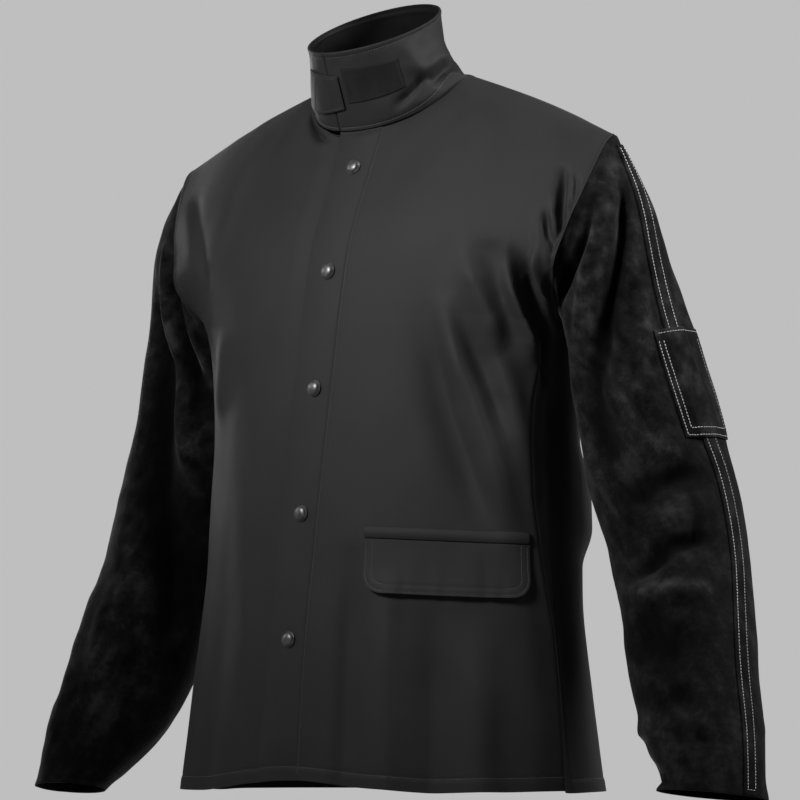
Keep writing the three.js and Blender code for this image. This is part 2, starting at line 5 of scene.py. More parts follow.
import bpy
import numpy as np
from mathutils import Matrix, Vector


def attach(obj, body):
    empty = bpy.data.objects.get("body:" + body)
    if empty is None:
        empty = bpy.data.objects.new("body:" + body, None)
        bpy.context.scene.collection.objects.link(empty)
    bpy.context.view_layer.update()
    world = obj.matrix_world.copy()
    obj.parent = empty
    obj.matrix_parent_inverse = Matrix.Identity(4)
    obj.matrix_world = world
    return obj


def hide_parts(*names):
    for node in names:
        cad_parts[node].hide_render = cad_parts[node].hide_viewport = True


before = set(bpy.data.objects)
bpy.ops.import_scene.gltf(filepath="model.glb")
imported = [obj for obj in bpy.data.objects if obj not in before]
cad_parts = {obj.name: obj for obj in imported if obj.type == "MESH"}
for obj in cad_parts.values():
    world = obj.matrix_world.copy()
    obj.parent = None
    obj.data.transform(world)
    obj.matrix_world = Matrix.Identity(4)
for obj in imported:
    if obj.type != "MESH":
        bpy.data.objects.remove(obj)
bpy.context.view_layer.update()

MM = 0.001
FRONT, BACK = -1, 1

# Walls
CLOTH, LEATHER, TWO_PLY, COLLAR_WALL, STRIP_WALL = 1.3, 1.8, 2.4, 2.8, 1.4
REST_GAP = 0.4
SEAM_U, SEAM_V, SEAM_T, SEAM_PHI = 0.0012, 0.002, 0.004, 0.2

# Body sections: z, half width, depth in front, depth behind
HEM_Z, UNDERARM_Z = -695, -238
BODY = [
    (-695, 233, 169, 168), (-600, 221, 159, 152), (-518, 211, 151, 146),
    (-418, 207, 143, 152), (-318, 206, 134, 150), (-238, 216, 124, 138),
]
HEM_LIFT, HEM_LIFT_REACH = 12, 0.25

# Centre lines above the underarm: z, y
CENTRE = {
    FRONT: [(-238, -124), (-176, -115), (-77, -76), (-40, -62)],
    BACK: [(-238, 138), (-150, 135), (-60, 110), (5, 62)],
}
NECK = dict(half=90, middle=10, front=72, back=52, front_z=-40, side_z=15, back_z=5, dip=1.1)
NECK_SHARE = 0.36
SHOULDER_TIP = (273, 8, -58)
SHOULDER_BOW, TOP_SOFTNESS, ARM_PULL = 4, 0.25, 2.5
UNDERARM_ROUND = dict(reach=60, near=15, far=120, samples=7, peak=1.2)
SETTLE = dict(slope=0.016, low=-420, high=-60)

# Armhole from the shoulder tip down: z, x, front y, back y
ARMHOLE = [
    (-58, 273, 8, 8), (-66, 271.5, -4, 19), (-86, 268, -16, 31), (-114, 262, -30, 44),
    (-150, 252, -44, 53), (-192, 240, -49, 52), (-238, 216, 5, 5),
]

# Rings of the left sleeve: x, y, z, lean, half width out, half width deep, spin, turn, dip
RINGS = [
    (260.5, 16, -199, 55, 71, 53, 0, 2, 0), (274, 33, -262, 25, 64, 58, 0, 11, 0),
    (294, 46, -350, 8, 67, 66, 0, 6, 0), (309, 48, -414, 5, 70, 70, 10, 12, 0),
    (327, 42, -470, 4, 67.5, 67.5, 20, 20, 0), (345, 28, -520, 4, 65, 65, 30, 30, 0),
    (362, 16, -580, 3, 63, 67, 39, 39, 0), (385, 1, -640, 2, 58, 60, 39, 39, 0.05),
    (412, -23, -696, 0, 54, 36, 39, 42, 0.14),
]
CUFF = len(RINGS)

# Seam strip of the sleeves: ring, degrees of its middle line
STRIP_LINE = [
    (0, 1), (1.5, 1.5), (2.1, 3), (3.13, 0), (3.5, -2.5), (4.4, -2),
    (5.2, 0), (6, 2), (6.8, 5), (7.7, 6), (9, 7),
]
STRIP_HALF, STRIP_TOP, STRIP_ROW = 9, 0.12, 5
PATCH = dict(back=-33, front=25, top=2.1, foot=3.13, rows=(2.2, 8.2))

# Placket: v, middle, half width
PLACKET = [
    (-1, -11, 26), (-0.68, -9, 23.5), (-0.135, 4.6, 23.4), (0, 7.5, 23.6), (0.45, 10, 25.5), (1, 8.5, 27),
]
PLACKET_FORM = dict(proud=0.6, step=(-2.5, 1.5), crown=3.2, crowned=(-1, -0.9, 0.8, 0.98))
UNDERLAP = dict(dip=5.2, start=2, ease=28, end=20)

# Snaps
SNAP_Z = [-79, -183, -299, -422, -546]
SNAP_BESIDE = 5
SNAP_PROFILE = [
    (0, 0), (7.9, 0), (8.2, 0.25), (8.2, 0.9), (7.9, 1.25), (7.3, 1.4), (7.2, 1.75), (6.9, 2.6),
    (6.1, 3.5), (4.8, 4.2), (3.0, 4.7), (1.4, 4.87), (0, 4.9),
]

# Collar
RIM = dict(half=67, deep=65, middle=-30, z=66, tilt=0.45)
COLLAR_RAISE, COLLAR_START, COLLAR_FLARE, COLLAR_GAP = 0.8, -12, 0.72, 0.5
COLLAR_ROLL, COLLAR_ROLL_RISE, COLLAR_ROLL_TURN, COLLAR_BASE_ROW = 6, 0.6, 2, 3.5
COLLAR_FADE = (0, 0.08, 0.86, 1)
COLLAR_SCALE = dict(angle=1.3, h=85)
TAB_WALL, LOOP_WALL, LOOP_GAP = 2.0, 0.8, 0.15
TAB_LIFT, LOOP_LIFT = REST_GAP + TAB_WALL, LOOP_GAP + LOOP_WALL
TAB_INSET, TAB_SEWN, LOOP_INSET = 0.07, 0.3, 0.05

# Corners of the tab and the loop patch: degrees, share of the collar's height
TAB = dict(top_left=(-36, 0.76), top_right=(-1, 0.70), foot_left=(-54, 0.13), foot_right=(-2, 0.28))
LOOP_PATCH = dict(top_left=(3, 0.79), top_right=(53, 0.71), foot_left=(2, 0.35), foot_right=(51, 0.33))

# Folds of the collar: a line of (degrees, share of height) places, half widths (left, right), height
COLLAR_FOLDS = [
    ([(36, 0.16), (54, 0.22), (70, 0.26)], 5, 4, -5),
    ([(70, 0.26), (76, 0.12), (90, 0.10), (112, 0.22), (135, 0.4)], 6, 5, -6),
    ([(58, 0.62), (72, 0.36), (92, 0.30), (112, 0.40)], 12, 9, 4),
    ([(112, 0.50), (150, 0.55)], 24, 18, -5),
    ([(60, 0.92), (66, 0.55), (69, 0.28)], 11, 8, 3),
    ([(14, 0.55), (46, 0.50)], 20, 20, -2.5),
    ([(48, 0.05), (78, 0.06)], 6, 6, 2),
    ([(190, 0.45), (235, 0.40)], 16, 16, -3),
    ([(140, 0.30), (175, 0.25)], 14, 10, 2.5),
    ([(255, 0.25), (290, 0.30)], 10, 12, -3),
]

# Flap pocket
POCKET = dict(start=0.235, end=0.795, width=165, welt=12, top=-435, drop=8, crown=1.6)
FLAP = dict(depth=53, corner=20, stand=4, wave=1.1, rows=(2.5, 9))

# Rows of stitches: millimetres in from the edge, then the dip along a row (depth, half width)
HEM_ROW, ARM_ROW, SHOULDER_ROW = 13, 4, 3.5
HEM_DIP, PLACKET_DIP, COLLAR_DIP, FLAP_DIP = (0.7, 1.7), (0.45, 1.6), (0.5, 1.4), (0.4, 1.5)
HEM_PLY, HEM_TURN = 0.8, (12.5, 15)
SMALL_STITCH = dict(pitch=2.6, length=2.0, radius=0.3)
HEAVY_STITCH = dict(pitch=3.3, length=2.5, radius=0.42)

# Folds of the front and back: a line of (u, v) places, half widths (left, right), height
FOLDS = {
    FRONT: [
        ([(0.73, 0.195), (0.80, 0.145), (0.835, 0.10), (0.86, 0.05), (0.90, -0.02),
          (0.93, -0.12)], 8, 12, -17),
        ([(0.84, 0.22), (0.895, 0.15), (0.95, 0.10)], 9, 9, 14),
        ([(0.71, 0.17), (0.735, 0.10), (0.757, 0.04), (0.785, -0.02), (0.83, -0.07)], 7, 12, 15),
        ([(0.50, 0.21), (0.575, 0.11), (0.61, 0.05), (0.68, -0.05)], 20, 42, 5),
        ([(0.53, 0.185), (0.575, 0.11), (0.61, 0.05), (0.68, -0.05)], 13, 15, 7),
        ([(0.52, 0.19), (0.70, 0.205)], 8, 11, -2.5),
        ([(0.40, 0.02), (0.43, -0.045), (0.455, -0.09), (0.515, -0.195), (0.59, -0.30),
          (0.68, -0.45)], 10, 24, -9),
        ([(0.455, 0.03), (0.47, -0.005), (0.525, -0.085), (0.595, -0.165), (0.65, -0.26),
          (0.72, -0.42)], 13, 15, 13),
        ([(0.50, -0.01), (0.57, -0.07), (0.61, -0.10), (0.665, -0.165), (0.71, -0.24)], 14, 12, -4),
        ([(0.61, -0.04), (0.685, -0.10), (0.735, -0.165), (0.765, -0.225), (0.79, -0.32)], 14, 14, 6),
        ([(0.885, 0.56), (0.94, 0.39), (1.02, 0.25)], 6, 9, -11),
        ([(0.865, 0.36), (0.915, 0.285), (1.0, 0.24)], 5, 7, -6),
        ([(0.825, 0.35), (0.88, 0.26), (0.98, 0.18)], 7, 10, 4),
        ([(0.875, 0.44), (0.92, 0.34), (0.99, 0.27)], 5, 5, 3),
        ([(0.915, 0.54), (0.98, 0.39)], 6, 5, 4),
        ([(0.935, 0.56), (1.01, 0.385)], 5, 5, -4),
        ([(0.87, 0.03), (0.81, -0.165), (0.80, -0.27), (0.805, -0.375), (0.88, -0.66), (0.88, -0.81),
          (0.87, -1.2)], 14, 62, 19),
        ([(0.31, -0.56), (0.315, -1.2)], 15, 19, 7),
        ([(0.19, -0.5), (0.185, -1.2)], 15, 12, -7),
        ([(0.62, -0.64), (0.595, -1.2)], 19, 21, 6),
        ([(0.465, -0.62), (0.44, -1.2)], 17, 17, -7),
        ([(-0.455, 0.005), (-0.47, -0.08), (-0.535, -0.195)], 16, 16, 5),
        ([(-0.25, 0.91), (-0.115, 0.78)], 11, 12, -10),
        ([(-0.89, 0.555), (-0.61, 0.14)], 12, 12, -5),
        ([(-0.62, -0.55), (-0.6, -1.2)], 26, 22, 4),
        ([(-0.36, -0.45), (-0.38, -1.2)], 24, 24, -3.5),
    ],
    BACK: [
        ([(0.55, -0.28), (0.6, -0.5)], 60, 60, 11),
        ([(-0.2, -0.4), (-0.24, -1.1)], 45, 45, -6),
        ([(0.2, -0.4), (0.24, -1.1)], 45, 45, -6),
        ([(0.62, 0.34), (0.7, -0.2)], 22, 26, 6),
        ([(-0.62, 0.34), (-0.7, -0.2)], 26, 22, 6),
        ([(0.72, 0.3), (0.82, 0.02), (0.86, -0.12)], 9, 12, -8),
        ([(-0.72, 0.3), (-0.82, 0.02), (-0.86, -0.12)], 12, 9, -8),
        ([(0.86, 0.45), (0.93, 0.25)], 7, 8, -5),
        ([(-0.86, 0.45), (-0.93, 0.25)], 8, 7, -5),
    ],
}
BODY_SCALE = dict(u=320, low=457, high=250)
FOLD_FADE = dict(side=0.04, top=0.1)
SIDE_SINK = dict(depth=8, reach=26, start=0.02, full=0.2)
PUCKER = dict(depth=1.3, reach=11, pitch=10.5, rows=(0.1, 0.18, 0.27, 0.42))
SEAM_PUFF = dict(rise=0.3, reach=5, full=0.15)

# Folds of the sleeves: a line of (degrees round, ring) places, half widths (left, right), height
SLEEVE_FOLDS = {
    1: [
        ([(14, 0.45), (20, 0.75), (32, 1.11), (48, 1.53), (72, 2.07), (98, 2.45)], 12, 9, -17),
        ([(36, 0.3), (50, 0.78), (76, 1.17), (100, 1.9)], 14, 14, 7),
        ([(64, 0.6), (80, 0.72), (100, 0.72), (145, 0.48)], 9, 8, -15),
        ([(4, 1.1), (18, 1.8), (44, 2.4)], 14, 12, 4),
        ([(98, 2.2), (104, 2.8), (100, 3.4)], 26, 20, -12),
        ([(12, 3.55), (40, 3.70), (58, 3.78), (76, 3.95), (100, 3.75)], 12, 13, -10),
        ([(16, 4.15), (40, 4.25), (66, 4.4)], 13, 12, 4),
        ([(20, 3.22), (80, 3.1)], 18, 18, 4),
        ([(33, 4.0), (36, 4.35), (38, 4.75)], 4, 4, -2.5),
        ([(14, 4.65), (40, 4.75), (56, 4.82), (82, 5.15), (105, 5.4)], 9, 11, -10),
        ([(28, 5.68), (70, 5.66), (105, 5.75)], 14, 13, 8),
        ([(50, 6.7), (92, 6.4), (118, 6.7)], 30, 26, -14),
        ([(55, 7.75), (90, 7.85), (125, 7.75)], 12, 16, 5),
        ([(50, 8.1), (64, 8.04)], 8, 8, -4),
        ([(64, 7.4), (82, 7.34)], 10, 10, -5),
        ([(85, 8.02), (112, 8.0), (160, 7.9)], 8, 14, 4),
        ([(92, 8.75), (125, 8.75), (175, 8.75)], 30, 20, -9),
        ([(141, 1.6), (141, 3.0), (141, 4.4)], 30, 30, 6),
        ([(36, 0.8), (48, 2.0), (62, 3.3)], 40, 40, 6),
    ],
    -1: [
        ([(64, 0.6), (84, 1.2), (91, 1.9), (96, 2.58), (118, 3.21), (142, 3.85)], 9, 18, 13),
        ([(120, 0.8), (122, 1.62), (137, 2.3)], 8, 8, 7),
        ([(98, 0.6), (106, 1.5), (116, 2.5)], 8, 8, -12),
        ([(62, 1.2), (72, 2.3), (80, 2.9), (98, 3.75), (122, 4.6), (146, 5.6), (165, 6.6)], 17, 24, -21),
        ([(52, 3.4), (80, 4.8), (96, 6.4), (106, 7.6)], 24, 16, 6),
        ([(110, 7.5), (150, 7.3)], 12, 12, 4),
        ([(70, 8.1), (105, 8.2)], 9, 9, -3),
        ([(28, 1.0), (34, 3.0), (42, 5.0), (54, 7.5)], 20, 22, 5),
    ],
}
BACK_SLEEVE_FOLDS = [
    ([(-60, 0.6), (-80, 1.3), (-100, 2.0)], 12, 12, -8),
    ([(-95, 0.7), (-125, 1.2), (-150, 1.5)], 12, 12, -7),
    ([(-75, 3.3), (-95, 3.4), (-125, 3.2)], 14, 14, -4),
    ([(-75, 4.3), (-100, 4.4), (-125, 4.3)], 14, 15, -4),
    ([(-75, 3.85), (-110, 3.8)], 15, 15, 2),
    ([(-75, 6.1), (-110, 6.3)], 26, 22, -7),
    ([(-75, 7.7), (-115, 7.75)], 14, 14, 4),
]
SLEEVE_SCALE = dict(phi=1.15, t=70)

# Distance of the sleeves on the flat map, and how far a lifted piece counts as raised for the leather's
# painted light and shade
UV_APART, LIFT_IN_PAINTED_LIGHT = 700, 0.6

# Fading of the sleeve folds towards seams and ends, and the rounded cap
SLEEVE_FADE = dict(strip=18, inner=26, top=0.22, cuff=0.16)
CAP_ROUND = dict(rise=8.5, ring=0.8, reach=0.6, across=75)

# Shares of a fold's length where it starts, is full, fades and ends
FOLD_ENDS = (-0.12, 0.3, 0.7, 1.12)

# Waves of no pattern: height, length across, length down, seed
BODY_WAVES = [(1.2, 75, 110, 3), (0.35, 24, 40, 7)]
SLEEVE_WAVES = [(1.5, 42, 46, 11), (0.7, 17, 19, 17)]
COLLAR_WAVES = [(0.8, 40, 32, 23), (0.25, 14, 14, 29)]
FLAP_WAVES = [(1, 17, 70, 41), (0.5, 8, 50, 43)]

# Steps between the places that a surface's normal is read from
BODY_STEPS, SLEEVE_STEPS, COLLAR_STEPS = (0.01, 0.02), (2, 0.04), (3, 0.05)

# From none to all of a mitre, by the dot product of two walls' normals at their seam
MITRE = (-0.2, 0.3)


# Small tools
def smooth(x, low, high):
    share = np.clip((x - low) / (high - low), 0, 1)
    return share * share * (3 - 2 * share)


def bell(x):
    return np.exp(-np.square(x))


def lerp(a, b, share):
    return a + (b - a) * share


def between(x, start, full, fading, end):
    """Smoothly up from 0 at start to 1 at full, and down from fading to 0 at end."""
    return smooth(x, start, full) * (1 - smooth(x, fading, end))


def dip(distance, depth, half):
    """The depth of the dip that a row of stitches pulls in."""
    return depth * bell(distance / half)


def pair(a, b):
    return np.broadcast_arrays(np.asarray(a, float), np.asarray(b, float))


def vec(x, y, z):
    return np.stack(np.broadcast_arrays(x, y, z), -1).astype(float)


def unit(a):
    return a / np.linalg.norm(a, axis=-1, keepdims=True)


def reader(rows, column):
    """A smooth curve through one column of a table, by its first column."""
    table = np.array(rows, float)
    xs, ys = table[:, 0], table[:, column]
    last = len(xs) - 1

    def read(x):
        x = np.clip(x, xs[0], xs[-1])
        i = np.clip(np.searchsorted(xs, x, side="right"), 1, last)
        before = np.where(i > 1, i - 2, i)
        after = np.where(i < last, i + 1, i - 1)
        x0, x1 = xs[i - 1], xs[i]
        half = (x1 - x0) / 2
        w0, w1 = half / (x0 - xs[before]), half / (xs[after] - x1)
        p = (x - x0) / (x1 - x0)
        return (ys[before] * (-w0 * p**3 + 2 * w0 * p**2 - w0 * p)
                + ys[i - 1] * ((1 + w0) * p**3 - (1.5 + 2 * w0) * p**2 + (w0 - 0.5) * p + 1)
                + ys[i] * (-(1 + w1) * p**3 + (1.5 + w1) * p**2 + 0.5 * p)
                + ys[after] * (w1 * p**3 - w1 * p**2))

    return read


def flowing(points, place, closed=False):
    """A place on the smooth curve through points, whose first axis runs along the curve."""
    count = len(points)
    first = np.clip(np.floor(place).astype(int), 0, count - 1 if closed else count - 2)
    share = (place - first)[..., None]

    def at(k):
        k = k % count if closed else np.clip(k, 0, count - 1)
        return np.take_along_axis(points, k[None, ..., None], 0)[0]

    p0, p1, p2, p3 = at(first - 1), at(first), at(first + 1), at(first + 2)
    if not closed:
        p0 = np.where((first == 0)[..., None], 2 * p1 - p2, p0)
        p3 = np.where((first == count - 2)[..., None], 2 * p2 - p1, p3)
    m1, m2 = (p2 - p0) / 2, (p3 - p1) / 2
    s2, s3 = share**2, share**3
    return (2 * s3 - 3 * s2 + 1) * p1 + (s3 - 2 * s2 + share) * m1 + (3 * s2 - 2 * s3) * p2 + (s3 - s2) * m2


def noise(x, y, seed):
    """Smooth waves of no pattern, from -1 to 1, a unit apart."""
    i, j = np.floor(x), np.floor(y)
    fx, fy = smooth(x - i, 0, 1), smooth(y - j, 0, 1)

    def corner(a, b):
        value = np.sin((i + a) * 127.1 + (j + b) * 311.7 + seed * 74.7) * 43758.5453
        return 2 * (value - np.floor(value)) - 1

    return lerp(lerp(corner(0, 0), corner(1, 0), fx), lerp(corner(0, 1), corner(1, 1), fx), fy)


def ridge(x, y, line, left, right):
    """1 along a line of the plane, falling to 0 over the widths beside it and towards its ends."""
    ends = np.array(line, float)
    lengths = np.hypot(*np.diff(ends, axis=0).T)
    nearest = np.full(x.shape, np.inf)
    place, beside = np.zeros(x.shape), np.zeros(x.shape)
    start = 0
    for k, ((x0, y0), (x1, y1), length) in enumerate(zip(ends[:-1], ends[1:], lengths)):
        along, across = (x1 - x0) / length, (y1 - y0) / length
        reach = (x - x0) * along + (y - y0) * across
        run = np.clip(reach, 0, length)
        distance = np.hypot(x - x0 - run * along, y - y0 - run * across)
        closer = distance < nearest
        on_line = np.clip(reach, 0 if k else -np.inf, length if k < len(lengths) - 1 else np.inf)
        place = np.where(closer, start + on_line, place)
        beside = np.where(closer, along * (y - y0) - across * (x - x0), beside)
        nearest = np.minimum(distance, nearest)
        start += length
    share = place / start
    half = lerp(right, left, smooth(beside, -0.5 * right, 0.5 * left))
    return bell(nearest / half) * between(share, *FOLD_ENDS)


def wave_height(waves, x, y, shift=0):
    return sum(height * noise(x / across, y / down, seed + shift) for height, across, down, seed in waves)


def fold_height(folds, waves, flat, a, b, shift=0):
    """Height of the waves and folds at a place of a surface, which flat lays out in millimetres."""
    x, y = flat(a, b)
    height = wave_height(waves, x, y, shift)
    for line, left, right, rise in folds:
        height = height + rise * ridge(x, y, [flat(*place) for place in line], left, right)
    return height


def normal_of(surface, a, b, steps, a_ends, b_ends):
    """The normal of a surface, from two steps each way that stay between its ends."""
    step_a, step_b = steps
    along_a = surface(np.clip(a + step_a, *a_ends), b) - surface(np.clip(a - step_a, *a_ends), b)
    along_b = surface(a, np.clip(b + step_b, *b_ends)) - surface(a, np.clip(b - step_b, *b_ends))
    return unit(np.cross(along_a, along_b))


def skin_of(base, normal, lift, mirror=(1, 1, 1)):
    """A function that gives points and normals of a surface with its lift."""
    def skin(a, b):
        a, b = pair(a, b)
        up = normal(a, b)
        return settled((base(a, b) + up * lift(a, b)[..., None]) * mirror), up * mirror
    return skin


def settled(points):
    points = points.copy()
    points[..., 2] += SETTLE["slope"] * points[..., 0] * smooth(points[..., 2], SETTLE["low"], SETTLE["high"])
    return points


# Body surface
body_wide = reader(BODY, 1)
body_depth = {FRONT: reader(BODY, 2), BACK: reader(BODY, 3)}
centre_line = {half: reader(CENTRE[half], 1) for half in CENTRE}
centre_top = {FRONT: NECK["front_z"], BACK: NECK["back_z"]}


def torso_point(half, u, z):
    turn = u * np.pi / 2
    return vec(body_wide(z) * np.sin(turn), half * body_depth[half](z) * np.cos(turn), z)


def hem_level(half, u):
    return HEM_Z + HEM_LIFT * bell(u / HEM_LIFT_REACH) if half == FRONT else HEM_Z + 0 * u


def neckline(angle):
    forward = np.cos(np.radians(angle))
    depth = np.where(forward > 0, NECK["front"], NECK["back"])
    ahead = lerp(NECK["front_z"], NECK["side_z"], np.maximum(1 - forward, 0) ** NECK["dip"])
    behind = lerp(NECK["side_z"], NECK["back_z"], forward**2)
    z = np.where(forward > 0, ahead, behind)
    return vec(NECK["half"] * np.sin(np.radians(angle)), NECK["middle"] - depth * forward, z)


def top_edge(half, u):
    side = np.where(u < 0, -1, 1)
    reach = np.abs(u)
    quarter = 90 * np.minimum(reach / NECK_SHARE, 1)
    neck = neckline(side * (quarter if half == FRONT else 180 - quarter))
    share = np.clip((reach - NECK_SHARE) / (1 - NECK_SHARE), 0, 1)
    tip_x, tip_y, tip_z = SHOULDER_TIP
    shoulder = vec(side * lerp(NECK["half"], tip_x, share), lerp(NECK["middle"], tip_y, share),
                   lerp(NECK["side_z"], tip_z, share) + SHOULDER_BOW * np.sin(np.pi * share))
    return np.where((reach <= NECK_SHARE)[..., None], neck, shoulder)


def soft_top(half, u, v):
    reach = np.minimum(TOP_SOFTNESS * (1 - v), 1 - np.abs(u))
    return sum(top_edge(half, u + share * reach) for share in (-1, -0.5, 0, 0.5, 1)) / 5


armhole_points = np.array([(x, front, z) for z, x, front, _ in ARMHOLE]
                          + [(x, back, z) for z, x, _, back in ARMHOLE[-2:0:-1]], float)


def armhole_point(angle):
    count = len(armhole_points)
    spread = armhole_points.reshape((count,) + (1,) * np.ndim(angle) + (3,))
    points = np.broadcast_to(spread, (count,) + np.shape(angle) + (3,))
    return flowing(points, (np.asarray(angle) / 360 + 1) % 1 * count, closed=True)


def upper_point(half, u, v):
    turn = v * np.pi / 2
    rise = vec(v, 1 - np.cos(turn), np.sin(turn))

    def spread(place):
        low = torso_point(half, place, UNDERARM_Z + 0 * v)
        return (soft_top(half, place, v) - low) * rise + low

    z = lerp(UNDERARM_Z, centre_top[half], np.sin(turn))
    centre = vec(0 * v, centre_line[half](z), z) - spread(0 * u)
    arm = armhole_point(-half * 180 * (1 - v)) - spread(0 * u + 1)
    arm = arm * vec(np.where(u < 0, -1, 1), 1, 1)
    pull = (np.abs(u) ** ARM_PULL)[..., None]
    return spread(u) + centre * (np.cos(u * np.pi / 2) ** 2)[..., None] + arm * pull


def body_height(v):
    return np.where(np.asarray(v) > 0, np.asarray(v) * BODY_SCALE["high"], np.asarray(v) * BODY_SCALE["low"])


def body_row_at(height):
    return np.where(height > 0, height / BODY_SCALE["high"], height / BODY_SCALE["low"])


def plain_body(half, u, v):
    low = torso_point(half, u, lerp(UNDERARM_Z, hem_level(half, u), np.clip(-v, 0, 1.02)))
    high = upper_point(half, u, np.clip(v, 0, 1))
    return np.where((v > 0)[..., None], high, low)


def body_flat(u, v):
    return u * BODY_SCALE["u"], body_height(v)


def body_base(half, u, v):
    """The body surface, its turn at the underarm level rounded off."""
    u, v = pair(u, v)
    height = body_height(v)
    near = 1 - smooth(np.abs(height), UNDERARM_ROUND["near"], UNDERARM_ROUND["far"])
    reach = UNDERARM_ROUND["reach"] * near * (1 - np.abs(u) ** 6)
    shares = np.linspace(-1, 1, UNDERARM_ROUND["samples"])
    weights = UNDERARM_ROUND["peak"] - np.abs(shares)
    points = (weight * plain_body(half, u, body_row_at(height + share * reach))
              for share, weight in zip(shares, weights))
    return sum(points) / weights.sum()


def body_normal(half, u, v):
    return -half * normal_of(lambda a, b: body_base(half, a, b), u, v, BODY_STEPS, (-1, 1), (-1, 1))


def body_fold(half, u, v):
    """Folds, puckers of the armhole seam and the sunken side seam."""
    height = fold_height(FOLDS[half], BODY_WAVES, body_flat, u, v, half)
    from_side = (1 - np.abs(u)) * BODY_SCALE["u"]
    pucker = bell(from_side / PUCKER["reach"]) * np.sin(2 * np.pi * body_height(v) / PUCKER["pitch"])
    pucker = PUCKER["depth"] * pucker * between(v, *PUCKER["rows"])
    fade = smooth(1 - np.abs(u), 0, FOLD_FADE["side"]) * smooth(1 - v, 0, FOLD_FADE["top"])
    sink = SIDE_SINK["depth"] * bell(from_side / SIDE_SINK["reach"])
    return (height + pucker) * fade - sink * smooth(-v, SIDE_SINK["start"], SIDE_SINK["full"])


def hem_lift(v):
    """The turned-up hem: a second ply, and the dip of its row of stitches."""
    up = (v + 1) * BODY_SCALE["low"]
    return HEM_PLY * (1 - smooth(up, *HEM_TURN)) - dip(up - HEM_ROW, *HEM_DIP)


def mitred(own, other):
    """The shared normal of two walls that meet at a seam."""
    share = smooth(np.sum(own * other, -1), *MITRE)[..., None]
    return unit(own + other * share)


def body_wall_normal(half, u, v):
    own = body_normal(half, u, v)
    other = sleeve_normal(-half * 180 * (1 - np.clip(v, 0, 1)), 0 * v) * vec(np.sign(u), 1, 1)
    at_arm = ((v > 0) & (np.abs(u) > 1 - 2 * SEAM_U))[..., None]
    return np.where(at_arm, mitred(own, other), own)


# Sleeve surface
def ring_point(row, phi):
    x, y, z, lean, wide, deep, spin, turn, dip = row
    around, spin, lean = np.radians(phi + turn), math.radians(spin), math.radians(lean)
    long, short = wide * np.cos(around), deep * np.sin(around)
    out = long * math.cos(spin) + short * math.sin(spin)
    back = long * math.sin(spin) - short * math.cos(spin)
    return vec(x + out * math.cos(lean), y + back, z + out * math.sin(lean) - back * dip)


def sleeve_base(phi, t):
    phi, t = pair(phi, t)
    points = np.stack([armhole_point(phi)] + [ring_point(row, phi) for row in RINGS])
    return flowing(points, t)


def sleeve_normal(phi, t):
    return normal_of(sleeve_base, phi, t, SLEEVE_STEPS, (-np.inf, np.inf), (0, CUFF))


def sleeve_flat(phi, t):
    return phi * SLEEVE_SCALE["phi"], t * SLEEVE_SCALE["t"]


strip_line = reader(STRIP_LINE, 1)


def sleeve_fold(side, phi, t):
    """Folds that leave the seams alone, and the round of the sleeve's cap."""
    folds = SLEEVE_FOLDS[side] + BACK_SLEEVE_FOLDS
    height = fold_height(folds, SLEEVE_WAVES, sleeve_flat, phi, t, side)
    strip = smooth(np.abs(phi - strip_line(t)), STRIP_HALF, STRIP_HALF + SLEEVE_FADE["strip"])
    inner = smooth(180 - np.abs(phi), 0, SLEEVE_FADE["inner"])
    top, cuff = smooth(t, 0, SLEEVE_FADE["top"]), smooth(CUFF - t, 0, SLEEVE_FADE["cuff"])
    cap = bell((t - CAP_ROUND["ring"]) / CAP_ROUND["reach"]) * bell(phi / CAP_ROUND["across"])
    return height * strip * inner * top * cuff + CAP_ROUND["rise"] * cap * top


def sleeve_wall_normal(phi, t):
    own = sleeve_normal(phi, t)
    v = 1 - np.abs(phi) / 180
    body = np.where((phi > 0)[..., None], body_normal(FRONT, 1 + 0 * v, v), body_normal(BACK, 1 + 0 * v, v))
    return np.where((t <= 2 * SEAM_T)[..., None], mitred(own, body), own)


# Collar surface
def collar_base(angle, h):
    angle, h = pair(angle, h)
    foot = neckline(angle)
    turn = np.radians(angle)
    x, y = RIM["half"] * np.sin(turn), RIM["middle"] - RIM["deep"] * np.cos(turn)
    z = RIM["z"] + RIM["tilt"] * (y - RIM["middle"])
    share = np.maximum(h, 0) ** (1 - COLLAR_FLARE * np.sin(turn) ** 2)
    return vec(lerp(foot[..., 0], x, share), lerp(foot[..., 1], y, share),
               lerp(foot[..., 2] + COLLAR_RAISE, z, h))


def collar_normal(angle, h):
    return normal_of(collar_base, angle, h, COLLAR_STEPS, (-np.inf, np.inf), (0, 1))


def collar_flat(angle, h):
    return angle * COLLAR_SCALE["angle"], h * COLLAR_SCALE["h"]


def collar_lift(angle, h):
    """Folds of the collar, its rolled rim, and the dips of its rows of stitches."""
    angle = np.mod(angle - COLLAR_START, 360) + COLLAR_START
    height = fold_height(COLLAR_FOLDS, COLLAR_WAVES, collar_flat, angle, h) * between(h, *COLLAR_FADE)
    up, down = h * COLLAR_SCALE["h"], (1 - h) * COLLAR_SCALE["h"]
    roll = COLLAR_ROLL_RISE * (1 - smooth(down, COLLAR_ROLL - COLLAR_ROLL_TURN, COLLAR_ROLL))
    return height + roll - dip(down - COLLAR_ROLL, *COLLAR_DIP) - dip(up - COLLAR_BASE_ROW, *COLLAR_DIP)


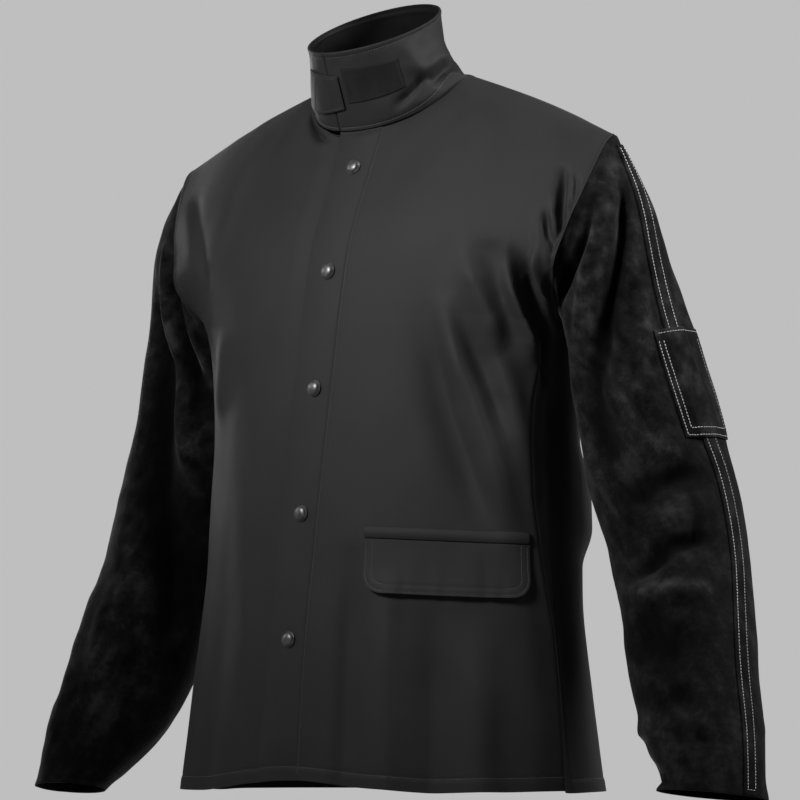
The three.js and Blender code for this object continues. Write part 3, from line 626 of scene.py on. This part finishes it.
# Meshes
def mesh_object(name, points, faces, uv, material):
    """A smooth mesh in metres from points in millimetres; uv holds a place in metres for each point."""
    mesh = bpy.data.meshes.new(name)
    mesh.vertices.add(len(points))
    mesh.vertices.foreach_set("co", (points * MM).astype(np.float32).ravel())
    mesh.loops.add(faces.size)
    mesh.loops.foreach_set("vertex_index", faces.astype(np.int32).ravel())
    mesh.polygons.add(len(faces))
    mesh.polygons.foreach_set("loop_start", np.arange(0, faces.size, faces.shape[1], dtype=np.int32))
    mesh.polygons.foreach_set("use_smooth", np.ones(len(faces), bool))
    mesh.update(calc_edges=True)
    layer = mesh.uv_layers.new(name="flat")
    layer.data.foreach_set("uv", uv[faces.ravel()].astype(np.float32).ravel())
    mesh.materials.append(material)
    made = bpy.data.objects.new(name, mesh)
    bpy.context.scene.collection.objects.link(made)
    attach(made, "root")
    return made


def grid_faces(index):
    return np.stack([index[:-1, :-1], index[:-1, 1:], index[1:, 1:], index[1:, :-1]], -1).reshape(-1, 4)


def signed_volume(points, faces):
    a, b, c, d = (points[faces[:, k]] for k in range(4))
    return (np.sum(a * np.cross(b, c), -1) + np.sum(a * np.cross(c, d), -1)).sum() / 6


def wall(name, base, normal, lift, thick, uv, material, rounding=0.4):
    """A closed sheet over a grid of rows and columns, with rounded edges."""
    lift = np.broadcast_to(lift, base.shape[:2])[..., None]
    thick = np.broadcast_to(thick, base.shape[:2])[..., None]
    outer = settled(base + normal * lift)
    inner = settled(base + normal * (lift - thick))
    rows, columns = base.shape[:2]
    points = np.concatenate([outer.reshape(-1, 3), inner.reshape(-1, 3)])
    front = np.arange(rows * columns).reshape(rows, columns)
    behind = front + rows * columns
    rims = [np.stack([front[0], behind[0]]), np.stack([behind[-1], front[-1]]),
            np.stack([behind[:, 0], front[:, 0]]), np.stack([front[:, -1], behind[:, -1]])]
    sides = [grid_faces(front), grid_faces(behind)[:, ::-1]]
    faces = np.concatenate(sides + [grid_faces(rim)[:, ::-1] for rim in rims])
    if signed_volume(points, faces) < 0:
        faces = faces[:, ::-1]
    made = mesh_object(name, points, faces, np.concatenate([uv.reshape(-1, 2)] * 2) * MM, material)
    reverse = made.data.attributes.new("reverse", "FLOAT", "POINT")
    reverse.data.foreach_set("value", np.repeat([0, 1], rows * columns).astype(np.float32))
    edge = np.zeros((rows, columns), bool)
    edge[[0, -1]] = True
    edge[:, [0, -1]] = True
    edge = np.concatenate([edge.ravel()] * 2)
    ends = np.zeros(2 * len(made.data.edges), np.int32)
    made.data.edges.foreach_get("vertices", ends)
    ends = ends.reshape(-1, 2)
    same = (ends[:, 0] < rows * columns) == (ends[:, 1] < rows * columns)
    weight = made.data.attributes.new("bevel_weight_edge", "FLOAT", "EDGE")
    weight.data.foreach_set("value", (edge[ends].all(1) & same).astype(np.float32))
    bevel = made.modifiers.new("rounded_edges", "BEVEL")
    bevel.limit_method = "WEIGHT"
    bevel.width = rounding * float(thick.min()) * MM
    bevel.segments = 2
    return made


def spaced(start, end, step):
    return np.linspace(start, end, max(2, int(round(abs(end - start) / step)) + 1))


def stitches(name, rows, material, pitch=3.0, length=2.3, radius=0.36):
    """Rows of thread along lines of points with normals, each stitch bent into the cloth at its ends."""
    sides, rings = 6, 5
    place = np.linspace(-1, 1, rings)
    girth = np.sqrt(np.maximum(1 - (0.92 * place) ** 2, 0))
    turn = np.arange(sides) * 2 * np.pi / sides
    ring_index = np.arange(rings * sides).reshape(rings, sides)
    tube = grid_faces(np.concatenate([ring_index, ring_index[:, :1]], 1))
    points, faces, count = [], [], 0
    for line, normals in rows:
        run = np.concatenate([[0], np.cumsum(np.linalg.norm(np.diff(line, axis=0), axis=1))])
        middles = np.arange(pitch / 2, run[-1], pitch)

        def at(values, places):
            return np.stack([np.interp(places, run, values[:, k]) for k in range(3)], -1)

        middle = at(line, middles)
        tangent = unit(at(line, middles + 0.8) - at(line, middles - 0.8))
        up = at(normals, middles)
        up = unit(up - tangent * np.sum(up * tangent, -1, keepdims=True))
        across = np.cross(tangent, up)
        for c, t, n, b in zip(middle, tangent, up, across):
            spine = c + np.outer(place * length / 2, t) + np.outer(radius * (0.75 - 0.75 * place**2), n)
            spokes = np.outer(np.cos(turn), b) + np.outer(np.sin(turn), n)
            points.append((spine[:, None] + girth[:, None, None] * radius * spokes).reshape(-1, 3))
            faces.append(tube + count)
            count += rings * sides
    points, faces = np.concatenate(points), np.concatenate(faces)
    return mesh_object(name, points, faces, points[:, :2] * MM, material)


# Materials
class Nodes:
    """The nodes of a material or a world."""

    def __init__(self, tree):
        self.tree = tree

    def feed(self, sockets, **values):
        """Sets inputs to numbers or links them to the outputs of other nodes; _ stands for a space."""
        for name, value in values.items():
            socket = sockets[name.replace("_", " ")]
            if isinstance(value, bpy.types.NodeSocket):
                self.tree.links.new(value, socket)
            else:
                socket.default_value = value

    def add(self, kind, output, **values):
        node = self.tree.nodes.new("ShaderNode" + kind)
        self.feed(node.inputs, **values)
        return node.outputs[output]

    def shade(self, **values):
        self.feed(self.tree.nodes["Principled BSDF"].inputs, **values)

    def noise(self, where, scale, detail, rough=0.55):
        return self.add("TexNoise", "Fac", Vector=where, Scale=scale, Detail=detail, Roughness=rough)

    def bump(self, height, distance, strength, **under):
        return self.add("Bump", "Normal", Height=height, Distance=distance, Strength=strength, **under)

    def ramp(self, value, stops):
        """Grey levels by value: place, level."""
        output = self.add("ValToRGB", "Color", Fac=value)
        ramp = output.node.color_ramp
        while len(ramp.elements) < len(stops):
            ramp.elements.new(0.5)
        for element, (place, level) in zip(ramp.elements, stops):
            element.position = place
            element.color = (level, level, level, 1)
        return output

    def total(self, shares, start=0.0):
        """The start plus outputs times their shares."""
        for value, share in shares:
            node = self.tree.nodes.new("ShaderNodeMath")
            node.operation = "MULTIPLY_ADD"
            self.tree.links.new(value, node.inputs[0])
            node.inputs[1].default_value = share
            if isinstance(start, float):
                node.inputs[2].default_value = start
            else:
                self.tree.links.new(start, node.inputs[2])
            start = node.outputs[0]
        return start

    def times(self, colour, other, factor):
        """A colour multiplied by another, as far as the factor says."""
        node = self.tree.nodes.new("ShaderNodeMix")
        node.data_type = "RGBA"
        node.blend_type = "MULTIPLY"
        self.feed(node.inputs, Factor=factor, A=colour, B=other)
        return node.outputs["Result"]

    def attribute(self, name):
        output = self.add("Attribute", "Fac")
        output.node.attribute_name = name
        return output

    def painted_shade_reverse(self, colour, share):
        """The colour, with painted shade on the reverse side of a sheet, the inside that lies in shade."""
        return self.times(colour, (share, share, share, 1), self.attribute("reverse"))


def new_material(name):
    made = bpy.data.materials.new(name)
    made.use_nodes = True
    return made, Nodes(made.node_tree)


def cloth_material(name, dark, light):
    made, nodes = new_material(name)
    flat = nodes.add("TexCoord", "UV")
    broad, fine = nodes.noise(flat, 14, 4), nodes.noise(flat, 420, 3)
    colour = nodes.ramp(nodes.total([(broad, 0.75), (fine, 0.25)]), [(0.3, dark), (0.7, light)])
    turned = nodes.add("Mapping", "Vector", Vector=flat, Rotation=(0, 0, 0.5))
    weave = nodes.add("TexWave", "Fac", Vector=turned, Scale=420, Distortion=1.2, Detail=1)
    bump = nodes.bump(fine, 0.0003, 0.3, Normal=nodes.bump(weave, 0.00012, 0.35))
    rough = nodes.ramp(broad, [(0.25, 0.58), (0.8, 0.72)])
    # The reverse side of the sateen, the inside of the collar and body, carries painted shade
    nodes.shade(Base_Color=nodes.painted_shade_reverse(colour, 0.08), Roughness=rough, Normal=bump,
                Specular_IOR_Level=0.055, Sheen_Weight=0.005, Sheen_Roughness=0.45)
    return made


def suede_material(name, dark, light):
    """Blotched leather, with painted light where its folds rise and painted shade in their hollows."""
    made, nodes = new_material(name)
    where = nodes.add("TexCoord", "Object")
    patches, blotches = nodes.noise(where, 19, 6, 0.62), nodes.noise(where, 75, 5, 0.6)
    nap = nodes.noise(where, 900, 3, 0.6)
    mixed = nodes.total([(patches, 0.5), (blotches, 0.35), (nap, 0.15)])
    colour = nodes.ramp(mixed, [(0.39, dark), (0.5, lerp(dark, light, 0.28)), (0.61, light)])
    # Painted shade in the hollows of the folds and painted light on their ridges, read from the fold height
    height = nodes.total([(nodes.attribute("fold"), 1 / 30)], 0.5)
    fold_light_and_shade = nodes.ramp(height, [(0.1, 0.08), (0.35, 0.2), (0.5, 0.45), (0.8, 1.0)])
    # The reverse side of the leather carries painted shade
    colour = nodes.painted_shade_reverse(nodes.times(colour, fold_light_and_shade, 1), 0.5)
    bump = nodes.bump(nap, 0.0005, 0.6, Normal=nodes.bump(blotches, 0.0012, 0.5))
    rough = nodes.ramp(patches, [(0.3, 0.86), (0.7, 0.98)])
    nodes.shade(Base_Color=colour, Roughness=rough, Normal=bump,
                Specular_IOR_Level=0.03, Sheen_Weight=0.035, Sheen_Roughness=0.35)
    return made


def thread_material(name, dark, light):
    made, nodes = new_material(name)
    where = nodes.add("TexCoord", "Object")
    colour = nodes.ramp(nodes.noise(where, 260, 3), [(0.3, dark), (0.7, light)])
    bump = nodes.bump(nodes.noise(where, 1800, 2), 0.0002, 0.5)
    nodes.shade(Base_Color=colour, Normal=bump, Roughness=0.75, Specular_IOR_Level=0.12)
    return made


def loop_material(name, dark, light):
    made, nodes = new_material(name)
    flat = nodes.add("TexCoord", "UV")
    loops = nodes.add("TexVoronoi", "Distance", Vector=flat, Scale=1500)
    colour = nodes.ramp(nodes.noise(flat, 160, 4), [(0.3, dark), (0.7, light)])
    nodes.shade(Base_Color=colour, Normal=nodes.bump(loops, 0.0003, 0.4), Roughness=0.95,
                Specular_IOR_Level=0.1)
    return made


def snap_material(name, dark, light):
    made, nodes = new_material(name)
    scuffs = nodes.noise(nodes.add("TexCoord", "Object"), 320, 5)
    nodes.shade(Base_Color=nodes.ramp(scuffs, [(0.35, dark), (0.75, light)]),
                Roughness=nodes.ramp(scuffs, [(0.3, 0.3), (0.75, 0.48)]), Metallic=0.55)
    return made


SATEEN = cloth_material("sateen", 0.0061, 0.0086)
SUEDE = suede_material("split_leather", 0.0005, 0.015)
LOOP = loop_material("loop_pile", 0.0028, 0.0040)
SNAP = snap_material("snap_enamel", 0.016, 0.04)
BLACK_THREAD = thread_material("black_thread", 0.0044, 0.0075)
DARK_THREAD = thread_material("dark_thread", 0.0125, 0.021)
GREY_THREAD = thread_material("grey_thread", 0.023, 0.041)
PALE_THREAD = thread_material("pale_thread", 0.14, 0.2)


# Body panels
placket_middle, placket_half = reader(PLACKET, 1), reader(PLACKET, 2)


def middle_spread(v):
    low = body_wide(lerp(UNDERARM_Z, HEM_Z, np.clip(-v, 0, 1)))
    return np.pi / 2 * np.where(v > 0, lerp(body_wide(UNDERARM_Z), NECK["half"] / NECK_SHARE, v), low)


def placket_u(v, beside):
    return (placket_middle(v) + beside) / middle_spread(v)


def beside_placket(u, v):
    """Millimetres from the placket's middle line, positive to the wearer's left."""
    return u * middle_spread(v) - placket_middle(v)


hem_rows = -1 + np.array([0, 1, 2, 4, 6, 8, 10, 11, 12, 13, 14, 15, 16, 18, 20]) / BODY_SCALE["low"]
body_rows = np.concatenate([
    hem_rows, spaced(hem_rows[-1], 0, 3 / BODY_SCALE["low"])[1:],
    spaced(0, 1 - SEAM_V, 2.6 / BODY_SCALE["high"])[1:],
])
side_end = 1 - SEAM_U


def seam_puff(u, v):
    """The turned edge along the armhole."""
    from_side = (1 - np.abs(u)) * BODY_SCALE["u"]
    return SEAM_PUFF["rise"] * bell(from_side / SEAM_PUFF["reach"]) * smooth(v, 0, SEAM_PUFF["full"])


def panel_lift(half, u, v):
    return body_fold(half, u, v) + hem_lift(v) + seam_puff(u, v)


def left_lift(u, v):
    middle = beside_placket(u, v)
    beside = middle - placket_half(v)
    two_ply = PLACKET_FORM["proud"] * (1 - smooth(beside, *PLACKET_FORM["step"]))
    across = np.clip(middle / placket_half(v), -1, 1)
    crown = PLACKET_FORM["crown"] * (1 - across**2) * between(v, *PLACKET_FORM["crowned"])
    return panel_lift(FRONT, u, v) + two_ply + crown - dip(beside, *PLACKET_DIP)


def right_lift(u, v):
    beside = -beside_placket(u, v) - placket_half(v)
    sunk = UNDERLAP["dip"] * (1 - smooth(beside, UNDERLAP["start"], UNDERLAP["ease"]))
    return panel_lift(FRONT, u, v) - sunk


def back_lift(u, v):
    return panel_lift(BACK, u, v)


def body_skin(half, lift):
    return skin_of(lambda u, v: body_base(half, u, v), lambda u, v: body_normal(half, u, v), lift)


def body_panel(name, half, u, v, lift, thick):
    u, v = pair(u, v)
    base, normal = body_base(half, u, v), body_wall_normal(half, u, v)
    return wall(name, base, normal, lift(u, v), thick, np.stack(body_flat(u, v), -1), SATEEN)


v = body_rows[:, None]
free_edge = placket_u(v, -placket_half(v))
inner_edge = placket_u(v, placket_half(v))
strip_share = np.concatenate([[0, 0.02, 0.05], np.linspace(0.1, 0.8, 8), [0.88, 0.93, 0.96, 0.98, 1]])[None]
panel_share = np.concatenate([[0.004, 0.008, 0.014], spaced(0.02, 1, 0.0098)])[None]
left_u = np.concatenate([lerp(free_edge, inner_edge, strip_share),
                         lerp(inner_edge, side_end, panel_share)], 1)
left_thick = lerp(TWO_PLY, CLOTH, smooth(beside_placket(left_u, v) - placket_half(v), -1, 2))
front_left = body_panel("front_left_cloth", FRONT, left_u, v, left_lift, left_thick)
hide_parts("front_panel_left", "front_placket")

lap_edge = placket_u(v, -placket_half(v) - 2)
lap_end = placket_u(v, UNDERLAP["end"])
right_u = np.concatenate([lerp(-side_end, lap_edge, np.linspace(0, 1, 96)[None]),
                          lerp(lap_edge, lap_end, np.linspace(0, 1, 8)[None, 1:])], 1)
front_right = body_panel("front_right_cloth", FRONT, right_u, v, right_lift, CLOTH)
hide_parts("front_panel_right")

back_u = np.linspace(-side_end, side_end, 176)[None]
back = body_panel("back_cloth", BACK, back_u, v, back_lift, CLOTH)
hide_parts("back_panel")

left_skin, right_skin = body_skin(FRONT, left_lift), body_skin(FRONT, right_lift)
back_skin = body_skin(BACK, back_lift)


# Snaps
def body_row(half, u, z):
    return -(UNDERARM_Z - z) / (UNDERARM_Z - hem_level(half, u))


def placket_row(z):
    if z < UNDERARM_Z:
        near = body_row(FRONT, np.float64(0), z)
        return body_row(FRONT, placket_u(near, 0), z)
    return 2 / np.pi * math.asin((z - UNDERARM_Z) / (NECK["front_z"] - UNDERARM_Z))


def lathe(name, profile, sides, centre, axis, material):
    side = unit(np.cross(axis, (0.0, 0.0, 1.0)))
    up = np.cross(side, axis)
    turn = np.arange(sides) * 2 * np.pi / sides
    spoke = np.cos(turn)[:, None] * side + np.sin(turn)[:, None] * up
    rings = np.stack([centre + axis * height + max(radius, 0.02) * spoke for radius, height in profile])
    index = np.arange(len(profile) * sides).reshape(len(profile), sides)
    faces = grid_faces(np.concatenate([index, index[:, :1]], 1))
    points = rings.reshape(-1, 3)
    if signed_volume(points - centre, faces) < 0:
        faces = faces[:, ::-1]
    return mesh_object(name, points, faces, points[:, :2] * MM, material)


for k, z in enumerate(SNAP_Z):
    row = np.array([placket_row(z)])
    at = placket_u(row, SNAP_BESIDE)
    point, normal = left_skin(at, row)
    snap = lathe(f"snap_cap_{k + 1}", SNAP_PROFILE, 40, point[0] + normal[0] * 0.1, normal[0], SNAP)
    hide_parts(f"snap_{k + 1}")


# Collar, its tab and its loop patch
def collar_piece(name, angle, h, proud, thick, material, rounding=0.4):
    uv = np.stack(collar_flat(angle, h), -1)
    lift = collar_lift(angle, h) + proud
    return wall(name, collar_base(angle, h), collar_normal(angle, h), lift, thick, uv, material, rounding)


def collar_skin(proud):
    return skin_of(collar_base, collar_normal, lambda angle, h: collar_lift(angle, h) + proud)


def quad_place(corners, across, down):
    """Degrees and height inside four corners of the collar."""
    across, down = np.asarray(across)[..., None], np.asarray(down)[..., None]
    top = lerp(np.array(corners["top_left"]), np.array(corners["top_right"]), across)
    foot = lerp(np.array(corners["foot_left"]), np.array(corners["foot_right"]), across)
    place = lerp(top, foot, down)
    return place[..., 0], place[..., 1]


def quad_rows(corners, skin, inset, sides):
    """Lines of stitches inside the edges of a quad of the collar, and where the tab is sewn on."""
    run, far = np.linspace(inset, 1 - inset, 50), 1 - inset
    lines = dict(top=(run, inset), foot=(run, far), left=(inset, run), right=(far, run), sewn=(TAB_SEWN, run))
    return [skin(*quad_place(corners, *lines[side])) for side in sides]


collar_angles = spaced(COLLAR_START, 360 + COLLAR_START - COLLAR_GAP, 1.25)
collar_grid = np.meshgrid(collar_angles, spaced(0, 1, 0.02))
collar = collar_piece("collar_cloth", *collar_grid, 0, COLLAR_WALL, SATEEN, 0.45)
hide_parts("collar_stand")
quad_grid = np.meshgrid(np.linspace(0, 1, 36), np.linspace(0, 1, 30))
tab = collar_piece("collar_tab_cloth", *quad_place(TAB, *quad_grid), TAB_LIFT, TAB_WALL, SATEEN)
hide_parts("collar_tab")
loop = collar_piece("collar_loop_pile", *quad_place(LOOP_PATCH, *quad_grid), LOOP_LIFT, LOOP_WALL, LOOP)
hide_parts("collar_loop_patch")
round_collar = np.linspace(COLLAR_START + 2, 360 + COLLAR_START - 3, 500)
rows = [collar_skin(0)(round_collar, up / COLLAR_SCALE["h"])
        for up in (COLLAR_SCALE["h"] - COLLAR_ROLL, COLLAR_BASE_ROW)]
collar_stitches = stitches("collar_stitches", rows, GREY_THREAD)
rows = quad_rows(TAB, collar_skin(TAB_LIFT), TAB_INSET, ("top", "right", "foot", "sewn"))
collar_tab_stitches = stitches("collar_tab_stitches", rows, DARK_THREAD, **SMALL_STITCH)
rows = quad_rows(LOOP_PATCH, collar_skin(LOOP_LIFT), LOOP_INSET, ("top", "right", "foot", "left"))
collar_loop_stitches = stitches("collar_loop_stitches", rows, BLACK_THREAD, **SMALL_STITCH)


# Flap pocket
def pocket_top(across):
    return POCKET["top"] - POCKET["drop"] * across


def pocket_surface(across, z, stand):
    """Place on the front, base, normal and lift of a pocket piece that stands off the front."""
    u = lerp(POCKET["start"], POCKET["end"], across)
    v = body_row(FRONT, u, z)
    lift = left_lift(u, v) + REST_GAP + TWO_PLY + stand
    return body_flat(u, v), body_base(FRONT, u, v), body_normal(FRONT, u, v), lift


def pocket_piece(name, across, z, stand):
    flat, base, normal, lift = pocket_surface(across, z, stand)
    return wall(name, base, normal, lift, TWO_PLY, np.stack(flat, -1), SATEEN)


across = np.linspace(0, 1, 60)[None]
down = np.linspace(0, 1, 11)[:, None]
crown = POCKET["crown"] * (1 - (2 * down - 1) ** 2)
welt = pocket_piece("pocket_welt_cloth", across + 0 * down, pocket_top(across) - down * POCKET["welt"], crown)
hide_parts("pocket_welt")


def flap_z(across, drop):
    return pocket_top(across) - POCKET["welt"] - REST_GAP - drop


def edge_distance(across, drop):
    """Millimetres in from the flap's sides, round corners and foot."""
    radius = FLAP["corner"]
    side = np.minimum(across, 1 - across) * POCKET["width"]
    foot = FLAP["depth"] - drop
    in_corner = (side < radius) & (foot < radius)
    return np.where(in_corner, radius - np.hypot(radius - side, radius - foot), np.minimum(side, foot))


def flap_stand(across, drop):
    """The flap stands off towards its foot, in soft waves, with dips along its rows of stitches."""
    share = drop / FLAP["depth"]
    waves = FLAP["wave"] * wave_height(FLAP_WAVES, across * POCKET["width"], drop)
    dips = sum(dip(edge_distance(across, drop) - row, *FLAP_DIP) for row in FLAP["rows"])
    return FLAP["stand"] * share**2 + share * waves - dips


def flap_row(inset):
    """Points and normals of a line that follows the flap's edge."""
    corner, straight, radius = FLAP["corner"], FLAP["depth"] - FLAP["corner"], FLAP["corner"] - inset
    turn = np.linspace(0, np.pi / 2, 16)
    side = np.stack([np.full(20, inset), np.linspace(2, straight, 20)], -1)
    bend = np.stack([corner - radius * np.cos(turn), straight + radius * np.sin(turn)], -1)
    left = np.concatenate([side, bend])
    line = np.concatenate([left, (left * (-1, 1) + (POCKET["width"], 0))[::-1]])
    across, drop = line[:, 0] / POCKET["width"], line[:, 1]
    _, base, normal, lift = pocket_surface(across, flap_z(across, drop), flap_stand(across, drop))
    return settled(base + normal * lift[..., None]), normal


CORNER = FLAP["corner"] / POCKET["width"]
arc = CORNER * (1 - np.cos(np.linspace(0, np.pi / 2, 9)))
across = np.concatenate([arc, np.linspace(CORNER, 1 - CORNER, 76)[1:-1], 1 - arc[::-1]])[None]
inset = np.maximum(0, 1 - np.minimum(across, 1 - across) / CORNER)
depth = FLAP["depth"] - FLAP["corner"] * (1 - np.sqrt(1 - inset**2))
drop = np.linspace(0, 1, 36)[:, None] * depth
flap = pocket_piece("pocket_flap_cloth", across + 0 * drop, flap_z(across, drop), flap_stand(across, drop))
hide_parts("pocket_flap")
pocket_flap_stitches = stitches("pocket_flap_stitches", [flap_row(row) for row in FLAP["rows"]], GREY_THREAD)

# Stitches of the body
hem_v = -1 + HEM_ROW / BODY_SCALE["low"]
lap_u = float(placket_u(np.array([hem_v]), -placket_half(hem_v))[0])
edge_u = 1 - ARM_ROW / BODY_SCALE["u"]
shoulder_v = 1 - SHOULDER_ROW / BODY_SCALE["high"]
arm_v, long_v = np.linspace(0.06, 0.985, 300), np.linspace(-0.985, 0.985, 700)
shoulder_u = np.linspace(NECK_SHARE + 0.02, edge_u, 200)
rows = [left_skin(placket_u(long_v, placket_half(long_v)), long_v)]
placket_stitches = stitches("placket_stitches", rows, GREY_THREAD)
rows = [left_skin(np.linspace(lap_u + 0.01, 0.996, 400), hem_v),
        right_skin(np.linspace(-0.996, lap_u - 0.02, 400), hem_v),
        back_skin(np.linspace(-0.996, 0.996, 700), hem_v)]
hem_stitches = stitches("hem_stitches", rows, GREY_THREAD)
rows = [left_skin(edge_u, arm_v), right_skin(-edge_u, arm_v),
        back_skin(edge_u, arm_v), back_skin(-edge_u, arm_v)]
armhole_stitches = stitches("armhole_stitches", rows, BLACK_THREAD)
rows = [left_skin(shoulder_u, shoulder_v), right_skin(-shoulder_u, shoulder_v)]
shoulder_stitches = stitches("shoulder_stitches", rows, GREY_THREAD)


# Sleeves
def sleeve_piece(name, side, phi, t, lift, thick):
    phi, t = pair(phi, t)
    mirror = (side, 1, 1)
    x, y = sleeve_flat(phi, t)
    folds = sleeve_fold(side, phi, t)
    made = wall(name, sleeve_base(phi, t) * mirror, sleeve_wall_normal(phi, t) * mirror,
                folds + lift, thick, np.stack([x + UV_APART * side, y], -1), SUEDE)
    # The fold height, with lifted pieces counted as raised, drives the leather's painted light and shade
    fold_light_and_shade = made.data.attributes.new("fold", "FLOAT", "POINT")
    fold_light_and_shade.data.foreach_set("value", np.tile((folds + LIFT_IN_PAINTED_LIGHT * lift).ravel(), 2).astype(np.float32))
    return made


def sleeve_skin(side, lift):
    return skin_of(sleeve_base, sleeve_normal, lambda phi, t: sleeve_fold(side, phi, t) + lift, (side, 1, 1))


sleeve_rows = spaced(SEAM_T, CUFF, 0.042)[:, None]
half_columns = spaced(SEAM_PHI, 180 - SEAM_PHI, 2.5)[None]
strip_columns = np.linspace(-STRIP_HALF, STRIP_HALF, 13)[None]
strip_rows = spaced(STRIP_TOP, CUFF, 0.042)[:, None]
STRIP_LIFT = REST_GAP + STRIP_WALL
for side, word in ((1, "left"), (-1, "right")):
    for part, columns in (("front", half_columns), ("back", -half_columns[:, ::-1])):
        half = sleeve_piece(f"sleeve_{word}_{part}_leather", side, columns, sleeve_rows, 0, LEATHER)
        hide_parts(f"sleeve_{word}_{part}")
    strip = sleeve_piece(f"sleeve_{word}_strip_leather", side, strip_columns + strip_line(strip_rows),
                         strip_rows, STRIP_LIFT, STRIP_WALL)
    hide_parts(f"sleeve_{word}_seam_strip")
    skin = sleeve_skin(side, STRIP_LIFT)
    run = np.linspace(0.16, CUFF - 0.09, 400)
    rows = [skin(strip_line(run) + beside, run) for beside in (STRIP_ROW, -STRIP_ROW)]
    end = np.linspace(-STRIP_ROW, STRIP_ROW, 12)
    rows.append(skin(strip_line(run[-1:]) + end, run[-1:]))
    sewn = stitches(f"sleeve_{word}_strip_stitches", rows, PALE_THREAD, **HEAVY_STITCH)

patch_columns = np.linspace(PATCH["back"], PATCH["front"], 39)[None]
patch_rows = spaced(PATCH["top"], PATCH["foot"], 0.03)[:, None]


def patch_lift(phi, t):
    """The pen pocket lies over the seam strip."""
    over = STRIP_LIFT * (1 - smooth(np.abs(phi - strip_line(t)), STRIP_HALF + 1, STRIP_HALF + 5))
    return REST_GAP + LEATHER + over


pen_pocket = sleeve_piece("sleeve_pocket_leather", 1, patch_columns, patch_rows,
                          patch_lift(patch_columns, patch_rows), LEATHER)
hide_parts("sleeve_pocket")
patch_skin = sleeve_skin(1, 0)


def patch_row(phi, t):
    point, normal = patch_skin(phi, t)
    phi, t = pair(phi, t)
    return point + normal * patch_lift(phi, t)[..., None], normal


rows = [patch_row(np.linspace(PATCH["back"] + 2, PATCH["front"] - 2, 60), PATCH["top"] + 0.035)]
for inset in PATCH["rows"]:
    edge_t = inset / SLEEVE_SCALE["t"]
    edge_phi = inset / SLEEVE_SCALE["phi"]
    down = np.linspace(PATCH["top"] + 0.1, PATCH["foot"] - edge_t, 60)
    across = np.linspace(PATCH["front"] - edge_phi, PATCH["back"] + edge_phi, 60)
    rows += [patch_row(across[0], down), patch_row(across, down[-1]), patch_row(across[-1], down)]
sleeve_pocket_stitches = stitches("sleeve_pocket_stitches", rows, PALE_THREAD, **HEAVY_STITCH)

# Camera, floor and light, in metres, degrees and watts
CAMERA = dict(azimuth=39, distance=6.5, beside=0.007, z=-0.6, aim_z=-0.305, sensor=36, lens=292.5, far=200)
FLOOR_Z, FLOOR_HALF = -1.45, 24

# Lights: azimuth (0 in front, 90 on the wearer's left), elevation, distance, size, spread, power, aim x, z
LIGHTS = dict(
    key=(-6, 25, 1.8, 0.45, 50, 8.4, 0.2, -0.17),
    right_key=(-56, 18, 2.0, 0.6, 55, 1.4, 0, -0.25),
    left_rim=(118, 35, 2.2, 0.8, 55, 16.5, 0.08, -0.28),
    right_rim=(-114, 10, 2.2, 0.8, 55, 2.6, 0.08, -0.28),
)
scene = bpy.context.scene


def aimed(name, data, place, aim):
    """Puts a camera or light in the scene, turned to a point."""
    made = bpy.data.objects.new(name, data)
    made.location = place
    made.rotation_mode = "QUATERNION"
    made.rotation_quaternion = (aim - place).to_track_quat("-Z", "Y")
    scene.collection.objects.link(made)
    return made


azimuth = math.radians(CAMERA["azimuth"])
toward = Vector((math.sin(azimuth), -math.cos(azimuth), 0)) * CAMERA["distance"]
beside = Vector((math.cos(azimuth), math.sin(azimuth), 0)) * CAMERA["beside"]
place, aim = toward + beside + Vector((0, 0, CAMERA["z"])), beside + Vector((0, 0, CAMERA["aim_z"]))
camera = aimed("camera", bpy.data.cameras.new("camera"), place, aim)
camera.data.sensor_width = CAMERA["sensor"]
camera.data.lens = CAMERA["lens"]
camera.data.clip_end = CAMERA["far"]
scene.camera = camera

floor_mesh = bpy.data.meshes.new("floor")
corners = [(x * FLOOR_HALF, y * FLOOR_HALF, FLOOR_Z) for x, y in ((-1, -1), (1, -1), (1, 1), (-1, 1))]
floor_mesh.from_pydata(corners, [], [(0, 1, 2, 3)])
floor = bpy.data.objects.new("floor", floor_mesh)
scene.collection.objects.link(floor)
floor_look, nodes = new_material("pale_floor")
nodes.shade(Base_Color=(0.2, 0.2, 0.2, 1), Roughness=0.9,
            Emission_Color=(1, 1, 1, 1), Emission_Strength=0.33)
floor_mesh.materials.append(floor_look)

for name, (azimuth, elevation, distance, size, spread, power, aim_x, aim_z) in LIGHTS.items():
    light = bpy.data.lights.new(name, "AREA")
    light.size = size
    light.spread = math.radians(spread)
    light.energy = power
    a, e = math.radians(azimuth), math.radians(elevation)
    out = Vector((math.sin(a) * math.cos(e), -math.cos(a) * math.cos(e), math.sin(e)))
    aim = Vector((aim_x, 0, aim_z))
    aimed(name, light, aim + out * distance, aim).visible_camera = False

world = bpy.data.worlds.new("studio")
scene.world = world
world.use_nodes = True
nodes = Nodes(world.node_tree)
up = nodes.add("SeparateXYZ", "Z", Vector=nodes.add("TexCoord", "Generated"))
glow = nodes.ramp(up, [(0.11, 0.52), (0.17, 0.04), (0.85, 0.04), (0.94, 1.7)])
nodes.feed(world.node_tree.nodes["Background"].inputs, Color=glow)
scene.view_settings.view_transform = "Standard"
